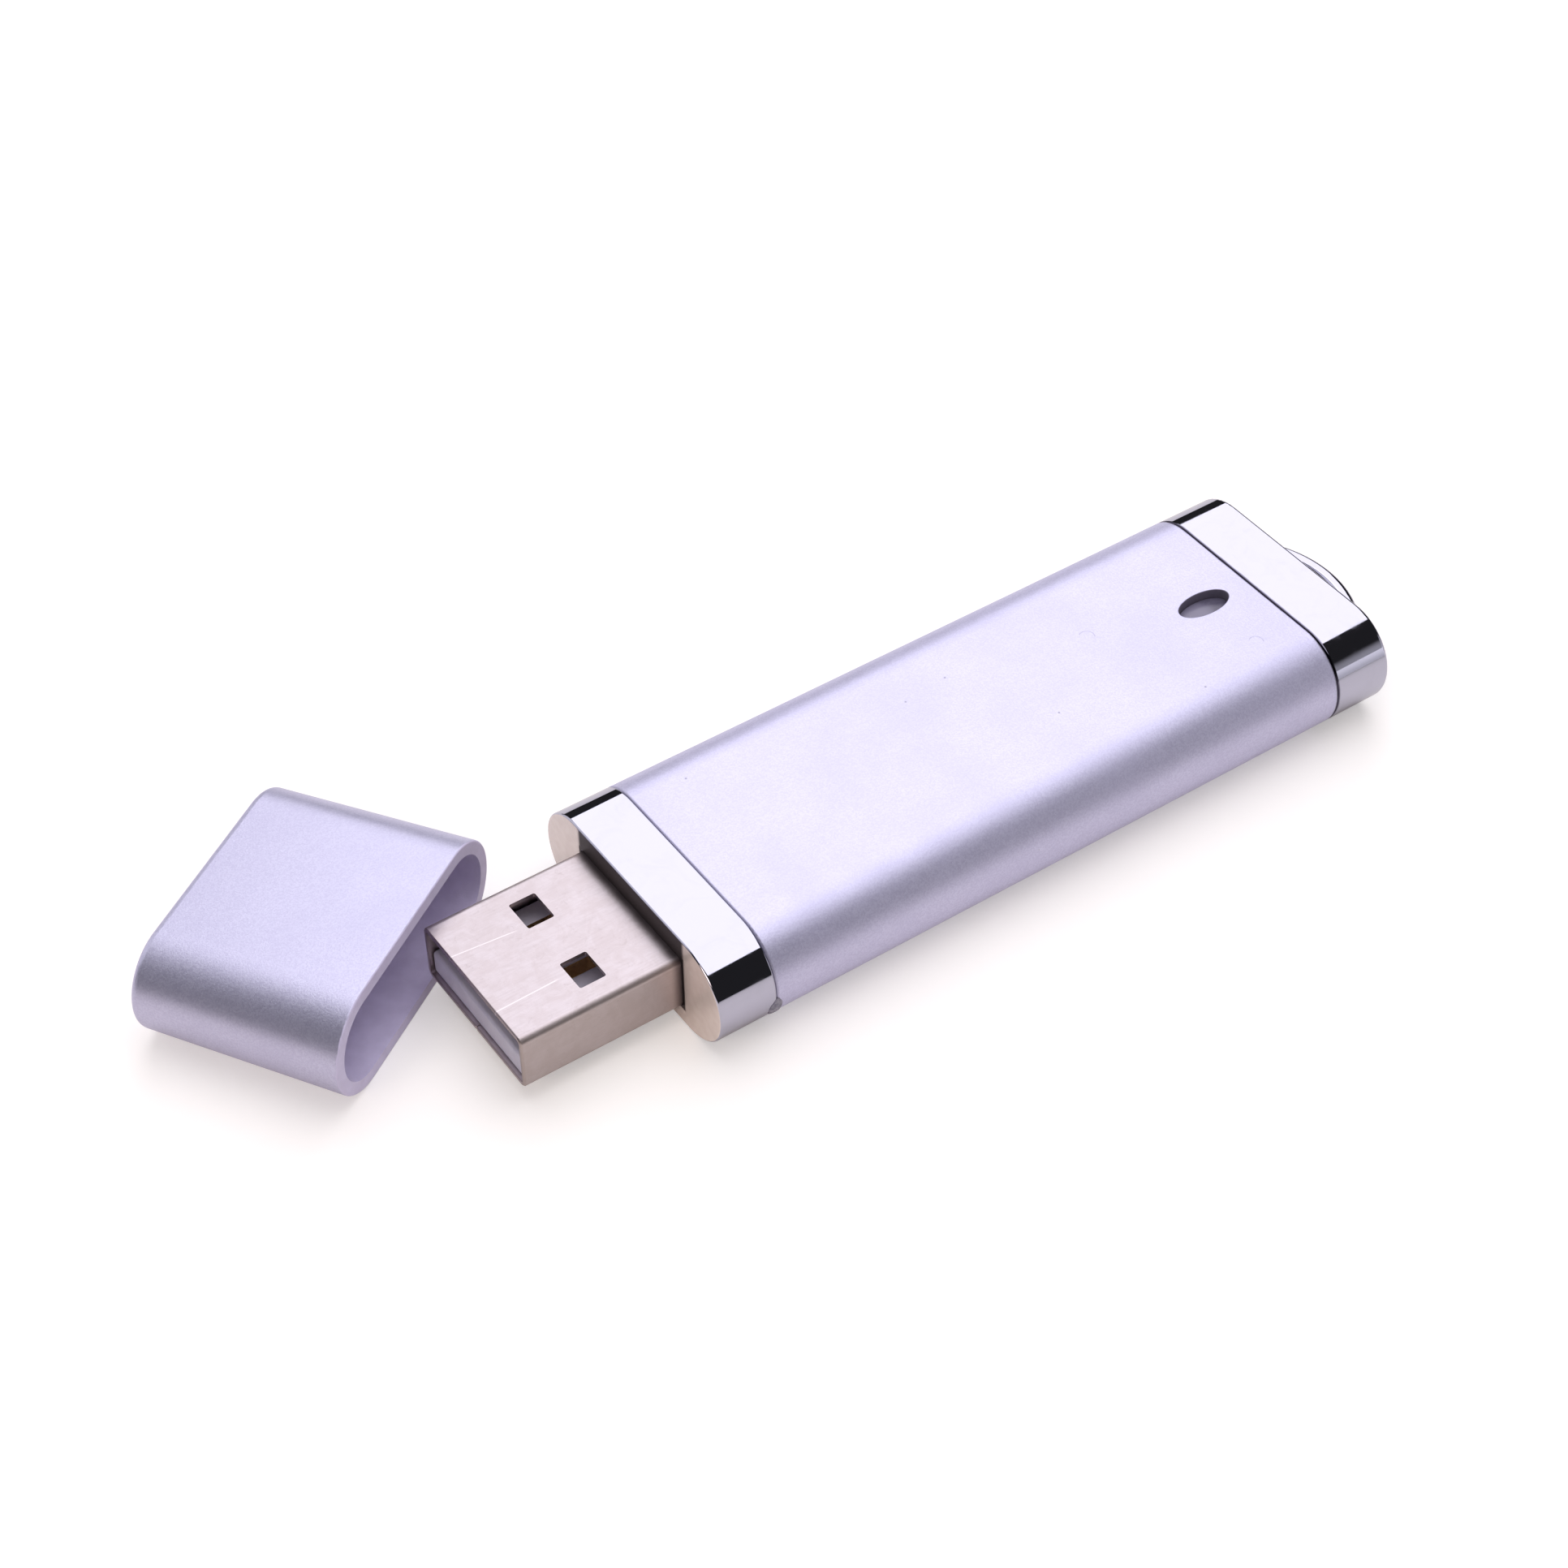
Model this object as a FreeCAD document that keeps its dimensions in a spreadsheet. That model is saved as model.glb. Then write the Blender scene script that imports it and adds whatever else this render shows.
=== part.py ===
import FreeCAD, Part

import os

import Sketcher
from FreeCAD import Placement, Rotation, Vector

# USB flash drive with a pull-off cap, in millimetres.
#
# Frame: +Z is up and Z = 0 is the surface that the drive and its cap lie on.  X runs along the drive, from
# the plug (-X) to the lanyard loop (+X), and X = 0 is the front face of the chrome collar, where the plug
# comes out.  Y = 0 is the drive's middle plane.  The cap lies off, turned beside the plug's tip.

# alias, value, meaning.  Lengths are in millimetres and angles in degrees.
SIZES = (
    ("BodyWidth", 20.76, "overall width of the drive's flat-oval section"),
    ("BodyHeight", 7.7, "overall thickness of the drive"),
    ("CollarLength", 4.3, "visible length of the chrome front collar"),
    ("TailFront", 51.42, "X of the seam between sleeve and tail cap"),
    ("TailBack", 56.1, "X of the tail cap's end face"),
    ("SleeveWall", 1.2, "wall of the silver sleeve"),
    ("SeamRound", 0.14, "rounding of the edges that meet at a seam"),
    ("FrontRound", 0.16, "rounding of the collar's front edge"),
    ("TailRound", 0.3, "rounding of the tail cap's end edge"),
    ("FrontWall", 1.5, "thickness of the collar's front wall"),
    ("LugClearance", 0.05, "gap between a lug and the sleeve's inside"),
    ("LugGap", 12.6, "clear width between the two lugs of an end piece"),
    ("FrontLugLength", 4.0, "how far the collar's lugs reach into the sleeve"),
    ("TailLugLength", 3.0, "how far the tail cap's lugs reach into the sleeve"),
    ("TailWall", 1.3, "thickness of the tail cap's end wall"),
    ("SlotPlay", 0.05, "play of the circuit board in its slots"),
    ("LoopTip", 59.8, "X of the lanyard loop's outermost point"),
    ("LoopRadius", 8.6, "outer radius of the lanyard loop"),
    ("LoopBand", 1.0, "radial width of the lanyard loop's band"),
    ("LoopHeight", 1.3, "thickness of the lanyard loop in Z"),
    ("LoopRound", 0.38, "rounding of the lanyard loop's edges"),
    ("LightX", 47.4, "X of the oval light window's middle"),
    ("LightY", -0.3, "Y of the oval light window's middle"),
    ("LightLength", 4.15, "length of the oval hole along X"),
    ("LightWidth", 2.1, "width of the oval hole along Y"),
    ("LightRound", 0.07, "rounding of the oval hole's outer edge"),
    ("LensSink", 0.75, "depth of the lens below the sleeve's top"),
    ("LensPlay", 0.04, "play between the lens and its hole"),
    ("LensFlange", 0.7, "how far the lens's flange reaches past the hole"),
    ("LensFlangeHeight", 0.6, "thickness of the lens's flange"),
    ("PipeRadius", 1.0, "radius of the light pipe under the lens"),
    ("PipeBottom", 4.25, "Z of the light pipe's lower end"),
    ("PlugReach", 11.86, "length of plug in front of the collar"),
    ("ShellBack", 6.9, "length of shell behind the collar's face"),
    ("PlugWidth", 12.0, "outside width of the plug's shell"),
    ("PlugHeight", 4.5, "outside height of the plug's shell"),
    ("PlugCentre", 3.75, "Z of the plug's middle"),
    ("PlugPlay", 0.04, "gap round the plug in the collar's opening"),
    ("SheetThickness", 0.3, "thickness of the shell's sheet steel"),
    ("ShellBend", 0.5, "outside radius of the shell's bends"),
    ("WindowFront", 5.37, "from the plug's tip to the windows"),
    ("WindowLength", 1.95, "length of a window along X"),
    ("WindowWidth", 2.5, "width of a window along Y"),
    ("WindowSpacing", 6.2, "between the middles of the two windows"),
    ("ShellCornerRound", 0.15, "rounding of the corners of the windows"),
    ("ShellEdge", 0.08, "bevel of the shell's front edge"),
    ("SeamSlit", 0.08, "width of the slit where the folded sheet meets"),
    ("ShellCutFront", 3.0, "X behind which the shell's lower part is cut away"),
    ("TabFront", 4.4, "X of the front of a soldering tab"),
    ("TabLength", 1.0, "length of a soldering tab"),
    ("TabBottom", 2.1, "Z of a soldering tab's end"),
    ("TongueSink", 0.3, "from the shell's front edge to the tongue's"),
    ("TongueWidth", 11.1, "width of the plastic tongue"),
    ("TongueHeight", 1.9, "thickness of the plastic tongue"),
    ("TongueRound", 0.25, "rounding of the tongue's nose"),
    ("BlockFront", -2.9, "X of the front of the insulator's block"),
    ("BlockBack", 2.95, "X of the back of the insulator's block"),
    ("ContactWidth", 1.0, "width of a contact"),
    ("ContactThickness", 0.3, "thickness of a contact"),
    ("ContactProud", 0.05, "height of a contact above the tongue"),
    ("ContactPlay", 0.02, "play of a contact in its groove"),
    ("OuterContactSpacing", 7.0, "between the two outer contacts"),
    ("InnerContactSpacing", 2.0, "between the two inner contacts"),
    ("OuterContactSink", 1.66, "from the plug's tip to an outer contact"),
    ("InnerContactSink", 2.66, "from the plug's tip to an inner contact"),
    ("ContactBack", 5.3, "X of the contacts' soldered tails"),
    ("BoardFront", 3.1, "X of the circuit board's front edge"),
    ("BoardBack", 50.2, "X of the circuit board's back edge"),
    ("BoardWidth", 16.0, "width of the circuit board"),
    ("BoardThickness", 1.0, "thickness of the circuit board"),
    ("BoardCorner", 0.4, "bevel of the circuit board's corners"),
    ("BoardTop", 3.45, "Z of the circuit board's upper face"),
    ("ViaRadius", 0.2, "radius of a via hole"),
    ("FlashX", 30.5, "X of the flash memory's middle"),
    ("FlashLength", 18.4, "length of the flash memory's body"),
    ("FlashWidth", 12.0, "width of the flash memory's body"),
    ("FlashHeight", 1.0, "thickness of the flash memory's body"),
    ("FlashSpan", 20.0, "flash memory over its leads"),
    ("ControllerX", 13.5, "X of the controller's middle"),
    ("ControllerSide", 7.0, "side of the controller's square body"),
    ("ControllerHeight", 1.4, "thickness of the controller's body"),
    ("ControllerSpan", 9.0, "controller over its leads"),
    ("ChipStandoff", 0.1, "gap under a chip's body"),
    ("ChipBevel", 0.12, "bevel of a large chip's edges"),
    ("MarkInset", 1.2, "from a chip's edges to the dimple that marks its first lead"),
    ("MarkRadius", 0.4, "radius of that dimple"),
    ("MarkDepth", 0.08, "depth of that dimple"),
    ("LeadPitch", 0.5, "between the leads of the two large chips"),
    ("LeadWidth", 0.22, "width of one of those leads"),
    ("LeadThickness", 0.13, "thickness of a lead"),
    ("RegulatorX", 10.3, "X of the regulator's middle"),
    ("RegulatorY", -6.1, "Y of the regulator's middle"),
    ("RegulatorLength", 2.9, "length of the regulator's body"),
    ("RegulatorWidth", 1.3, "width of the regulator's body"),
    ("RegulatorHeight", 1.0, "thickness of the regulator's body"),
    ("RegulatorSpan", 2.5, "regulator over its leads"),
    ("RegulatorPitch", 1.9, "between the regulator's two leads on one side"),
    ("RegulatorLeadWidth", 0.4, "width of a regulator's lead"),
    ("RegulatorBevel", 0.08, "bevel of the regulator's and the status LED's edges"),
    ("CrystalX", 43.4, "X of the crystal's middle"),
    ("CrystalY", -4.4, "Y of the crystal's middle"),
    ("CrystalLength", 5.0, "length of the crystal's can"),
    ("CrystalWidth", 3.2, "width of the crystal's can"),
    ("CrystalHeight", 1.1, "height of the crystal's can"),
    ("CrystalBevel", 0.25, "bevel of the crystal's can"),
    ("LedLength", 1.6, "length of the status LED"),
    ("LedWidth", 0.8, "width of the status LED"),
    ("LedHeight", 0.6, "height of the status LED"),
    ("ChipLength", 1.6, "length of a small capacitor or resistor"),
    ("ChipWidth", 0.8, "width of a small capacitor or resistor"),
    ("CapacitorHeight", 0.8, "height of a capacitor"),
    ("ResistorHeight", 0.45, "height of a resistor"),
    ("TerminalLength", 0.3, "length of a tinned end"),
    ("SolderHeight", 0.3, "height of a cone of solder"),
    ("TabSolderReach", 0.42, "radius of the solder round a soldering tab, at the board"),
    ("TabSolderTip", 0.25, "radius of that solder at its tip"),
    ("ContactSolderReach", 0.7, "radius of the solder over a contact's tail, at the board"),
    ("ContactSolderTip", 0.35, "radius of that solder at its tip"),
    ("CapLength", 15.06, "length of the cap"),
    ("CapMouthWidth", 20.6, "width of the cap at its mouth"),
    ("CapMouthHeight", 8.05, "height of the cap at its mouth"),
    ("CapDraft", 1.0, "draft of the cap's outside on each side, in degrees"),
    ("CapTrim", 0.3, "what is trimmed off the drafted block at each end"),
    ("CapEndRound", 0.55, "rounding of the closed end's edge"),
    ("CapRimRound", 0.12, "rounding of the rim's outer edge"),
    ("CapWall", 0.95, "wall of the cap at its mouth"),
    ("CapInnerDraft", 1.3, "draft of the cavity on each side, in degrees"),
    ("CapDepth", 13.6, "depth of the cap's cavity"),
    ("CapInnerRound", 0.8, "rounding round the cavity's floor"),
    ("CapRestX", -13.27, "X of the middle of the cap's mouth where it lies"),
    ("CapRestY", 4.93, "Y of the middle of the cap's mouth where it lies"),
    ("CapRestTurn", 122.6, "direction from the mouth to the closed end, from +X"),
    ("Overrun", 1.0, "how far a cut runs past what it cuts, and a joined piece into its neighbour"),
)

# Positions on the board, as (x, y, turned) with turned parts lying along Y.
CAPACITOR_PLACES = ((8.0, 4.6, True), (9.6, 6.4, True), (19.3, 5.6, True), (19.3, -5.6, True),
                    (43.0, 1.2, True), (43.0, 3.6, True))
RESISTOR_PLACES = ((8.0, 1.0, True), (8.0, -1.4, True), (13.0, 6.6, False), (16.0, 6.6, False),
                   (45.0, 6.2, False), (48.4, 3.4, False))
VIA_PLACES = ((12.8, -7.2), (14.4, -7.2), (18.6, 0.0), (18.6, 1.4), (42.0, 6.6), (42.0, -7.0),
              (49.2, -3.0), (49.2, -4.4))

doc = FreeCAD.newDocument("UsbFlashDrive")
sheet = doc.addObject("Spreadsheet::Sheet", "Sizes")
for line, (alias, number, meaning) in enumerate(SIZES, start=1):
    sheet.set("A%d" % line, meaning)
    sheet.set("B%d" % line, str(number))
    sheet.setAlias("B%d" % line, alias)
doc.recompute()

ALIASES = sorted((alias for alias, _, _ in SIZES), key=len, reverse=True)
sub_parts = []


def bound(formula):
    """The formula as an expression on the sheet: each alias gets the sheet's name in front of it."""
    words = str(formula).replace("(", "( ").replace(")", " )").split()
    return " ".join("Sizes." + word if word in ALIASES else word for word in words)


def value(formula):
    """What the formula gives now."""
    return float(sheet.evalExpression(bound(formula)))


def set_size(thing, name, formula):
    """Sets a property of a document object from the sheet and keeps it bound to it."""
    thing.setExpression(name, bound(formula))


def new_body(label):
    body = doc.addObject("PartDesign::Body", label)
    body.Label = label
    sub_parts.append(body)
    return body


def origin_plane(body, role):
    return next(plane for plane in body.Origin.OriginFeatures if plane.Role == role)


def new_sketch(body, name, role, offset="0"):
    """A sketch on one of the body's origin planes, moved along the plane's normal by the offset.

    On YZ_Plane a sketch's x and y are Y and Z, and its normal is +X.  On XY_Plane they are X and Y, with +Z.
    On XZ_Plane they are X and Z, and the normal is -Y."""
    sketch = body.newObject("Sketcher::SketchObject", name)
    sketch.AttachmentSupport = (origin_plane(body, role), [""])
    sketch.MapMode = "FlatFace"
    set_size(sketch, "AttachmentOffset.Base.z", offset)
    return sketch


def dimension(sketch, kind, places, formula):
    """A driving dimension, such as ("Radius", (1,), "BodyHeight / 2")."""
    index = sketch.addConstraint(Sketcher.Constraint(kind, *places, value(formula)))
    sketch.setExpression("Constraints[%d]" % index, bound(formula))


def rectangle(sketch, left, right, low, high):
    """A rectangle between two x and two y, each a formula."""
    x0, x1, y0, y1 = value(left), value(right), value(low), value(high)
    corners = [Vector(x0, y0, 0), Vector(x1, y0, 0), Vector(x1, y1, 0), Vector(x0, y1, 0)]
    first = sketch.GeometryCount
    for n in range(4):
        sketch.addGeometry(Part.LineSegment(corners[n], corners[(n + 1) % 4]), False)
    for n in range(4):
        sketch.addConstraint(Sketcher.Constraint("Coincident", first + n, 2, first + (n + 1) % 4, 1))
        sketch.addConstraint(Sketcher.Constraint("Vertical" if n % 2 else "Horizontal", first + n))
    dimension(sketch, "DistanceX", (-1, 1, first, 1), left)
    dimension(sketch, "DistanceX", (-1, 1, first, 2), right)
    dimension(sketch, "DistanceY", (-1, 1, first, 1), low)
    dimension(sketch, "DistanceY", (-1, 1, first + 2, 1), high)


def flat_oval(sketch, width, height, middle):
    """A flat oval about the sketch's y axis: two straight sides joined by half circles."""
    radius, z = value("( %s ) / 2" % height), value(middle)
    half = value(width) / 2 - radius
    sketch.addGeometry(Part.LineSegment(Vector(-half, z + radius, 0), Vector(half, z + radius, 0)), False)
    sketch.addGeometry(Part.LineSegment(Vector(half, z - radius, 0), Vector(-half, z - radius, 0)), False)
    for x, start in ((half, -90), (-half, 90)):
        circle = Part.Circle(Vector(x, z, 0), Vector(0, 0, 1), radius)
        begin = FreeCAD.Units.Quantity(start, "deg").getValueAs("rad").Value
        end = FreeCAD.Units.Quantity(start + 180, "deg").getValueAs("rad").Value
        sketch.addGeometry(Part.ArcOfCircle(circle, begin, end), False)
    # 0 is the upper line, 1 the lower line, 2 the arc at +x and 3 the arc at -x
    for line, line_end, arc, arc_end in ((0, 2, 2, 2), (1, 1, 2, 1), (1, 2, 3, 2), (0, 1, 3, 1)):
        sketch.addConstraint(Sketcher.Constraint("Tangent", line, line_end, arc, arc_end))
    sketch.addConstraint(Sketcher.Constraint("Equal", 2, 3))
    sketch.addConstraint(Sketcher.Constraint("Symmetric", 2, 3, 3, 3, -2))
    dimension(sketch, "Radius", (2,), "( %s ) / 2" % height)
    dimension(sketch, "DistanceX", (3, 3, 2, 3), "%s - ( %s )" % (width, height))
    dimension(sketch, "DistanceY", (-1, 1, 2, 3), middle)


def ellipse(sketch, middle_x, middle_y, length, width):
    """An ellipse with its long axis along x."""
    x, y, a, b = value(middle_x), value(middle_y), value(length) / 2, value(width) / 2
    sketch.addGeometry(Part.Ellipse(Vector(x + a, y, 0), Vector(x, y + b, 0), Vector(x, y, 0)), False)
    sketch.exposeInternalGeometry(0)
    # 1 is the long axis and 2 the short one
    sketch.addConstraint(Sketcher.Constraint("Horizontal", 1))
    dimension(sketch, "DistanceX", (-1, 1, 0, 3), middle_x)
    dimension(sketch, "DistanceY", (-1, 1, 0, 3), middle_y)
    dimension(sketch, "Distance", (1,), length)
    dimension(sketch, "Distance", (2,), width)


def circle(sketch, x, y, radius):
    """A circle with its middle at formulas x and y."""
    drawn = Part.Circle(Vector(value(x), value(y), 0), Vector(0, 0, 1), value(radius))
    place = sketch.addGeometry(drawn, False)
    dimension(sketch, "Radius", (place,), radius)
    dimension(sketch, "DistanceX", (-1, 1, place, 3), x)
    dimension(sketch, "DistanceY", (-1, 1, place, 3), y)


def pad(body, name, sketch, length, backwards=False, both_ways=False):
    feature = body.newObject("PartDesign::Pad", name)
    feature.Profile = sketch
    feature.Reversed = backwards
    if both_ways:
        feature.SideType = "Symmetric"
    set_size(feature, "Length", length)
    sketch.Visibility = False
    doc.recompute()
    return feature


def pocket(body, name, sketch, length, backwards=False):
    """A pocket.  It cuts against the sketch's normal, or along it when backwards is set."""
    before = body.Shape.Volume
    feature = body.newObject("PartDesign::Pocket", name)
    feature.Profile = sketch
    feature.Reversed = backwards
    set_size(feature, "Length", length)
    doc.recompute()
    if not body.Shape.Volume < before - 1e-6:
        raise ValueError("%s in %s cut nothing" % (name, body.Label))
    return feature


def edges_of(feature, test):
    """Names of the feature's edges whose bounding box passes the test."""
    return ["Edge%d" % n for n, edge in enumerate(feature.Shape.Edges, start=1) if test(edge.BoundBox)]


def dress(body, kind, name, base, test, radius):
    """A fillet or a chamfer on the edges of the base feature that pass the test."""
    names = edges_of(base, test)
    if not names:
        raise ValueError("%s in %s found no edges" % (name, body.Label))
    feature = body.newObject("PartDesign::" + kind, name)
    feature.Base = (base, names)
    set_size(feature, "Radius" if kind == "Fillet" else "Size", radius)
    doc.recompute()
    return feature


def near(a, b):
    return abs(a - b) < 0.01


def lies_at_x(x):
    """Edges that lie in the plane across the drive at x."""
    return lambda box: near(box.XMin, x) and near(box.XMax, x)


def outline_at_x(x, height):
    """Edges in the plane at x that belong to the outer outline: they reach the drive's top or underside."""
    return lambda box: lies_at_x(x)(box) and (near(box.ZMin, 0) or near(box.ZMax, height))


def main_sleeve():
    """The silver sleeve: a flat-oval tube with the oval light hole in its top."""
    body = new_body("main_sleeve")
    start, end = "CollarLength", "TailFront"
    outside = new_sketch(body, "sleeve_outside", "YZ_Plane", start)
    flat_oval(outside, "BodyWidth", "BodyHeight", "BodyHeight / 2")
    tube = pad(body, "sleeve_pad", outside, "%s - %s" % (end, start))
    dress(body, "Fillet", "sleeve_end_rounds", tube, lambda box: near(box.XMin, box.XMax), "SeamRound")
    inside = new_sketch(body, "sleeve_inside", "YZ_Plane", end)
    flat_oval(inside, "BodyWidth - 2 * SleeveWall", "BodyHeight - 2 * SleeveWall", "BodyHeight / 2")
    pocket(body, "sleeve_bore", inside, "%s - %s" % (end, start))
    hole = new_sketch(body, "light_hole_outline", "XY_Plane", "BodyHeight")
    ellipse(hole, "LightX", "LightY", "LightLength", "LightWidth")
    light = pocket(body, "light_hole", hole, "BodyHeight / 2")
    top = value("BodyHeight")
    dress(body, "Fillet", "light_hole_round", light,
          lambda box: near(box.ZMin, top) and near(box.ZMax, top) and near(box.XLength, value("LightLength")),
          "LightRound")


def end_lugs(body, name, start, length, backwards, slot_end):
    """Two lugs that reach into the sleeve on either side, with slots that hold the circuit board."""
    profile = new_sketch(body, name + "_lug_outline", "YZ_Plane", start)
    flat_oval(profile, "BodyWidth - 2 * SleeveWall - 2 * LugClearance",
              "BodyHeight - 2 * SleeveWall - 2 * LugClearance", "BodyHeight / 2")
    pad(body, name + "_lugs", profile, length, backwards)
    sign = "-" if backwards else "+"
    tip = "%s %s %s" % (start, sign, length)
    slot = new_sketch(body, name + "_slot_outline", "YZ_Plane", tip)
    rectangle(slot, "-0.5 * BoardWidth - SlotPlay", "0.5 * BoardWidth + SlotPlay",
              "BoardTop - BoardThickness - SlotPlay", "BoardTop + SlotPlay")
    depth = "%s - ( %s )" % ((slot_end, tip) if backwards else (tip, slot_end))
    pocket(body, name + "_board_slot", slot, depth, backwards)
    return tip


def front_collar():
    """The chrome front collar: a flat front wall with the plug's opening, and the two front lugs."""
    body = new_body("front_collar")
    outline = new_sketch(body, "collar_outline", "YZ_Plane")
    flat_oval(outline, "BodyWidth", "BodyHeight", "BodyHeight / 2")
    ring = pad(body, "collar_pad", outline, "CollarLength")
    front = dress(body, "Fillet", "collar_front_round", ring, lies_at_x(0), "FrontRound")
    dress(body, "Fillet", "collar_seam_round", front,
          outline_at_x(value("CollarLength"), value("BodyHeight")), "SeamRound")
    tip = end_lugs(body, "collar", "CollarLength", "FrontLugLength", False, "BoardFront - SlotPlay")
    room = new_sketch(body, "plug_room_outline", "YZ_Plane", tip)
    rectangle(room, "-0.5 * LugGap", "0.5 * LugGap", "SleeveWall", "BodyHeight - SleeveWall")
    pocket(body, "plug_room", room, "%s - FrontWall" % tip)
    opening = new_sketch(body, "plug_opening_outline", "YZ_Plane", "FrontWall + Overrun / 2")
    rectangle(opening, "-0.5 * PlugWidth - PlugPlay", "0.5 * PlugWidth + PlugPlay",
              "PlugCentre - PlugHeight / 2 - PlugPlay", "PlugCentre + PlugHeight / 2 + PlugPlay")
    hole = pocket(body, "plug_opening", opening, "FrontWall + Overrun")
    half, low = value("PlugWidth / 2 + PlugPlay"), value("PlugCentre - PlugHeight / 2 - PlugPlay")
    high = value("PlugCentre + PlugHeight / 2 + PlugPlay")
    dress(body, "Fillet", "plug_opening_corners", hole,
          lambda box: near(box.XLength, value("FrontWall")) and near(abs(box.YMin), half)
          and near(box.YLength, 0) and (near(box.ZMin, low) or near(box.ZMin, high)), "ShellBend")


def tail_cap():
    """The chrome tail cap: a hollow end with two lugs and the lanyard loop, in one moulding."""
    body = new_body("tail_cap")
    outline = new_sketch(body, "tail_outline", "YZ_Plane", "TailFront")
    flat_oval(outline, "BodyWidth", "BodyHeight", "BodyHeight / 2")
    block = pad(body, "tail_pad", outline, "TailBack - TailFront")
    end = dress(body, "Fillet", "tail_end_round", block, lies_at_x(value("TailBack")), "TailRound")
    dress(body, "Fillet", "tail_seam_round", end, outline_at_x(value("TailFront"), value("BodyHeight")),
          "SeamRound")
    tip = end_lugs(body, "tail", "TailFront", "TailLugLength", True, "BoardBack + SlotPlay")
    room = new_sketch(body, "tail_room_outline", "YZ_Plane", tip)
    rectangle(room, "-0.5 * LugGap", "0.5 * LugGap", "SleeveWall", "BodyHeight - SleeveWall")
    pocket(body, "tail_room", room, "TailBack - TailWall - ( %s )" % tip, backwards=True)
    lanyard_loop(body)


def lanyard_loop(body):
    """A flat arc of band that stands out from the middle of the tail's end face."""
    sketch = new_sketch(body, "loop_outline", "XY_Plane", "BodyHeight / 2")
    centre = Vector(value("LoopTip - LoopRadius"), 0, 0)
    outer, inner = value("LoopRadius"), value("LoopRadius - LoopBand")
    root = value("TailBack - TailWall / 2") - centre.x
    ends = []
    for radius in (outer, inner):
        y = (radius ** 2 - root ** 2) ** 0.5
        ends.append(y)
        tilt = Vector(root, y, 0).getAngle(Vector(1, 0, 0))
        sketch.addGeometry(Part.ArcOfCircle(Part.Circle(centre, Vector(0, 0, 1), radius), -tilt, tilt), False)
    for sign in (-1, 1):
        sketch.addGeometry(Part.LineSegment(centre + Vector(root, sign * ends[0], 0),
                                            centre + Vector(root, sign * ends[1], 0)), False)
    # 0 is the outer arc, 1 the inner arc, 2 and 3 the straight roots at -Y and +Y
    for line, arc_end in ((2, 1), (3, 2)):
        sketch.addConstraint(Sketcher.Constraint("Coincident", line, 1, 0, arc_end))
        sketch.addConstraint(Sketcher.Constraint("Coincident", line, 2, 1, arc_end))
        sketch.addConstraint(Sketcher.Constraint("Vertical", line))
    sketch.addConstraint(Sketcher.Constraint("Coincident", 0, 3, 1, 3))
    sketch.addConstraint(Sketcher.Constraint("PointOnObject", 0, 3, -1))
    dimension(sketch, "DistanceX", (-1, 1, 0, 3), "LoopTip - LoopRadius")
    dimension(sketch, "Radius", (0,), "LoopRadius")
    dimension(sketch, "Radius", (1,), "LoopRadius - LoopBand")
    dimension(sketch, "DistanceX", (-1, 1, 0, 1), "TailBack - TailWall / 2")
    dimension(sketch, "DistanceX", (-1, 1, 0, 2), "TailBack - TailWall / 2")
    band = pad(body, "loop_pad", sketch, "LoopHeight", both_ways=True)
    back, half = value("TailBack"), value("LoopHeight / 2")
    middle = value("BodyHeight / 2")
    dress(body, "Fillet", "loop_rounds", band,
          lambda box: box.XMax > back + 0.5 and near(box.ZLength, 0) and near(abs(box.ZMin - middle), half),
          "LoopRound")


def led_lens():
    """The dark lens: an oval plug in the sleeve's hole, a flange under the wall, and a light pipe."""
    body = new_body("led_lens")
    under_wall = "BodyHeight - SleeveWall"
    plug = new_sketch(body, "lens_plug_outline", "XY_Plane", under_wall)
    ellipse(plug, "LightX", "LightY", "LightLength - 2 * LensPlay", "LightWidth - 2 * LensPlay")
    pad(body, "lens_plug", plug, "SleeveWall - LensSink")
    flange = new_sketch(body, "lens_flange_outline", "XY_Plane", under_wall)
    ellipse(flange, "LightX", "LightY", "LightLength + 2 * LensFlange", "LightWidth + 2 * LensFlange")
    pad(body, "lens_flange", flange, "LensFlangeHeight", backwards=True)
    pipe = new_sketch(body, "light_pipe_outline", "XY_Plane", "PipeBottom")
    circle(pipe, "LightX", "LightY", "PipeRadius")
    pad(body, "light_pipe", pipe, "%s - LensFlangeHeight - PipeBottom" % under_wall)


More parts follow.
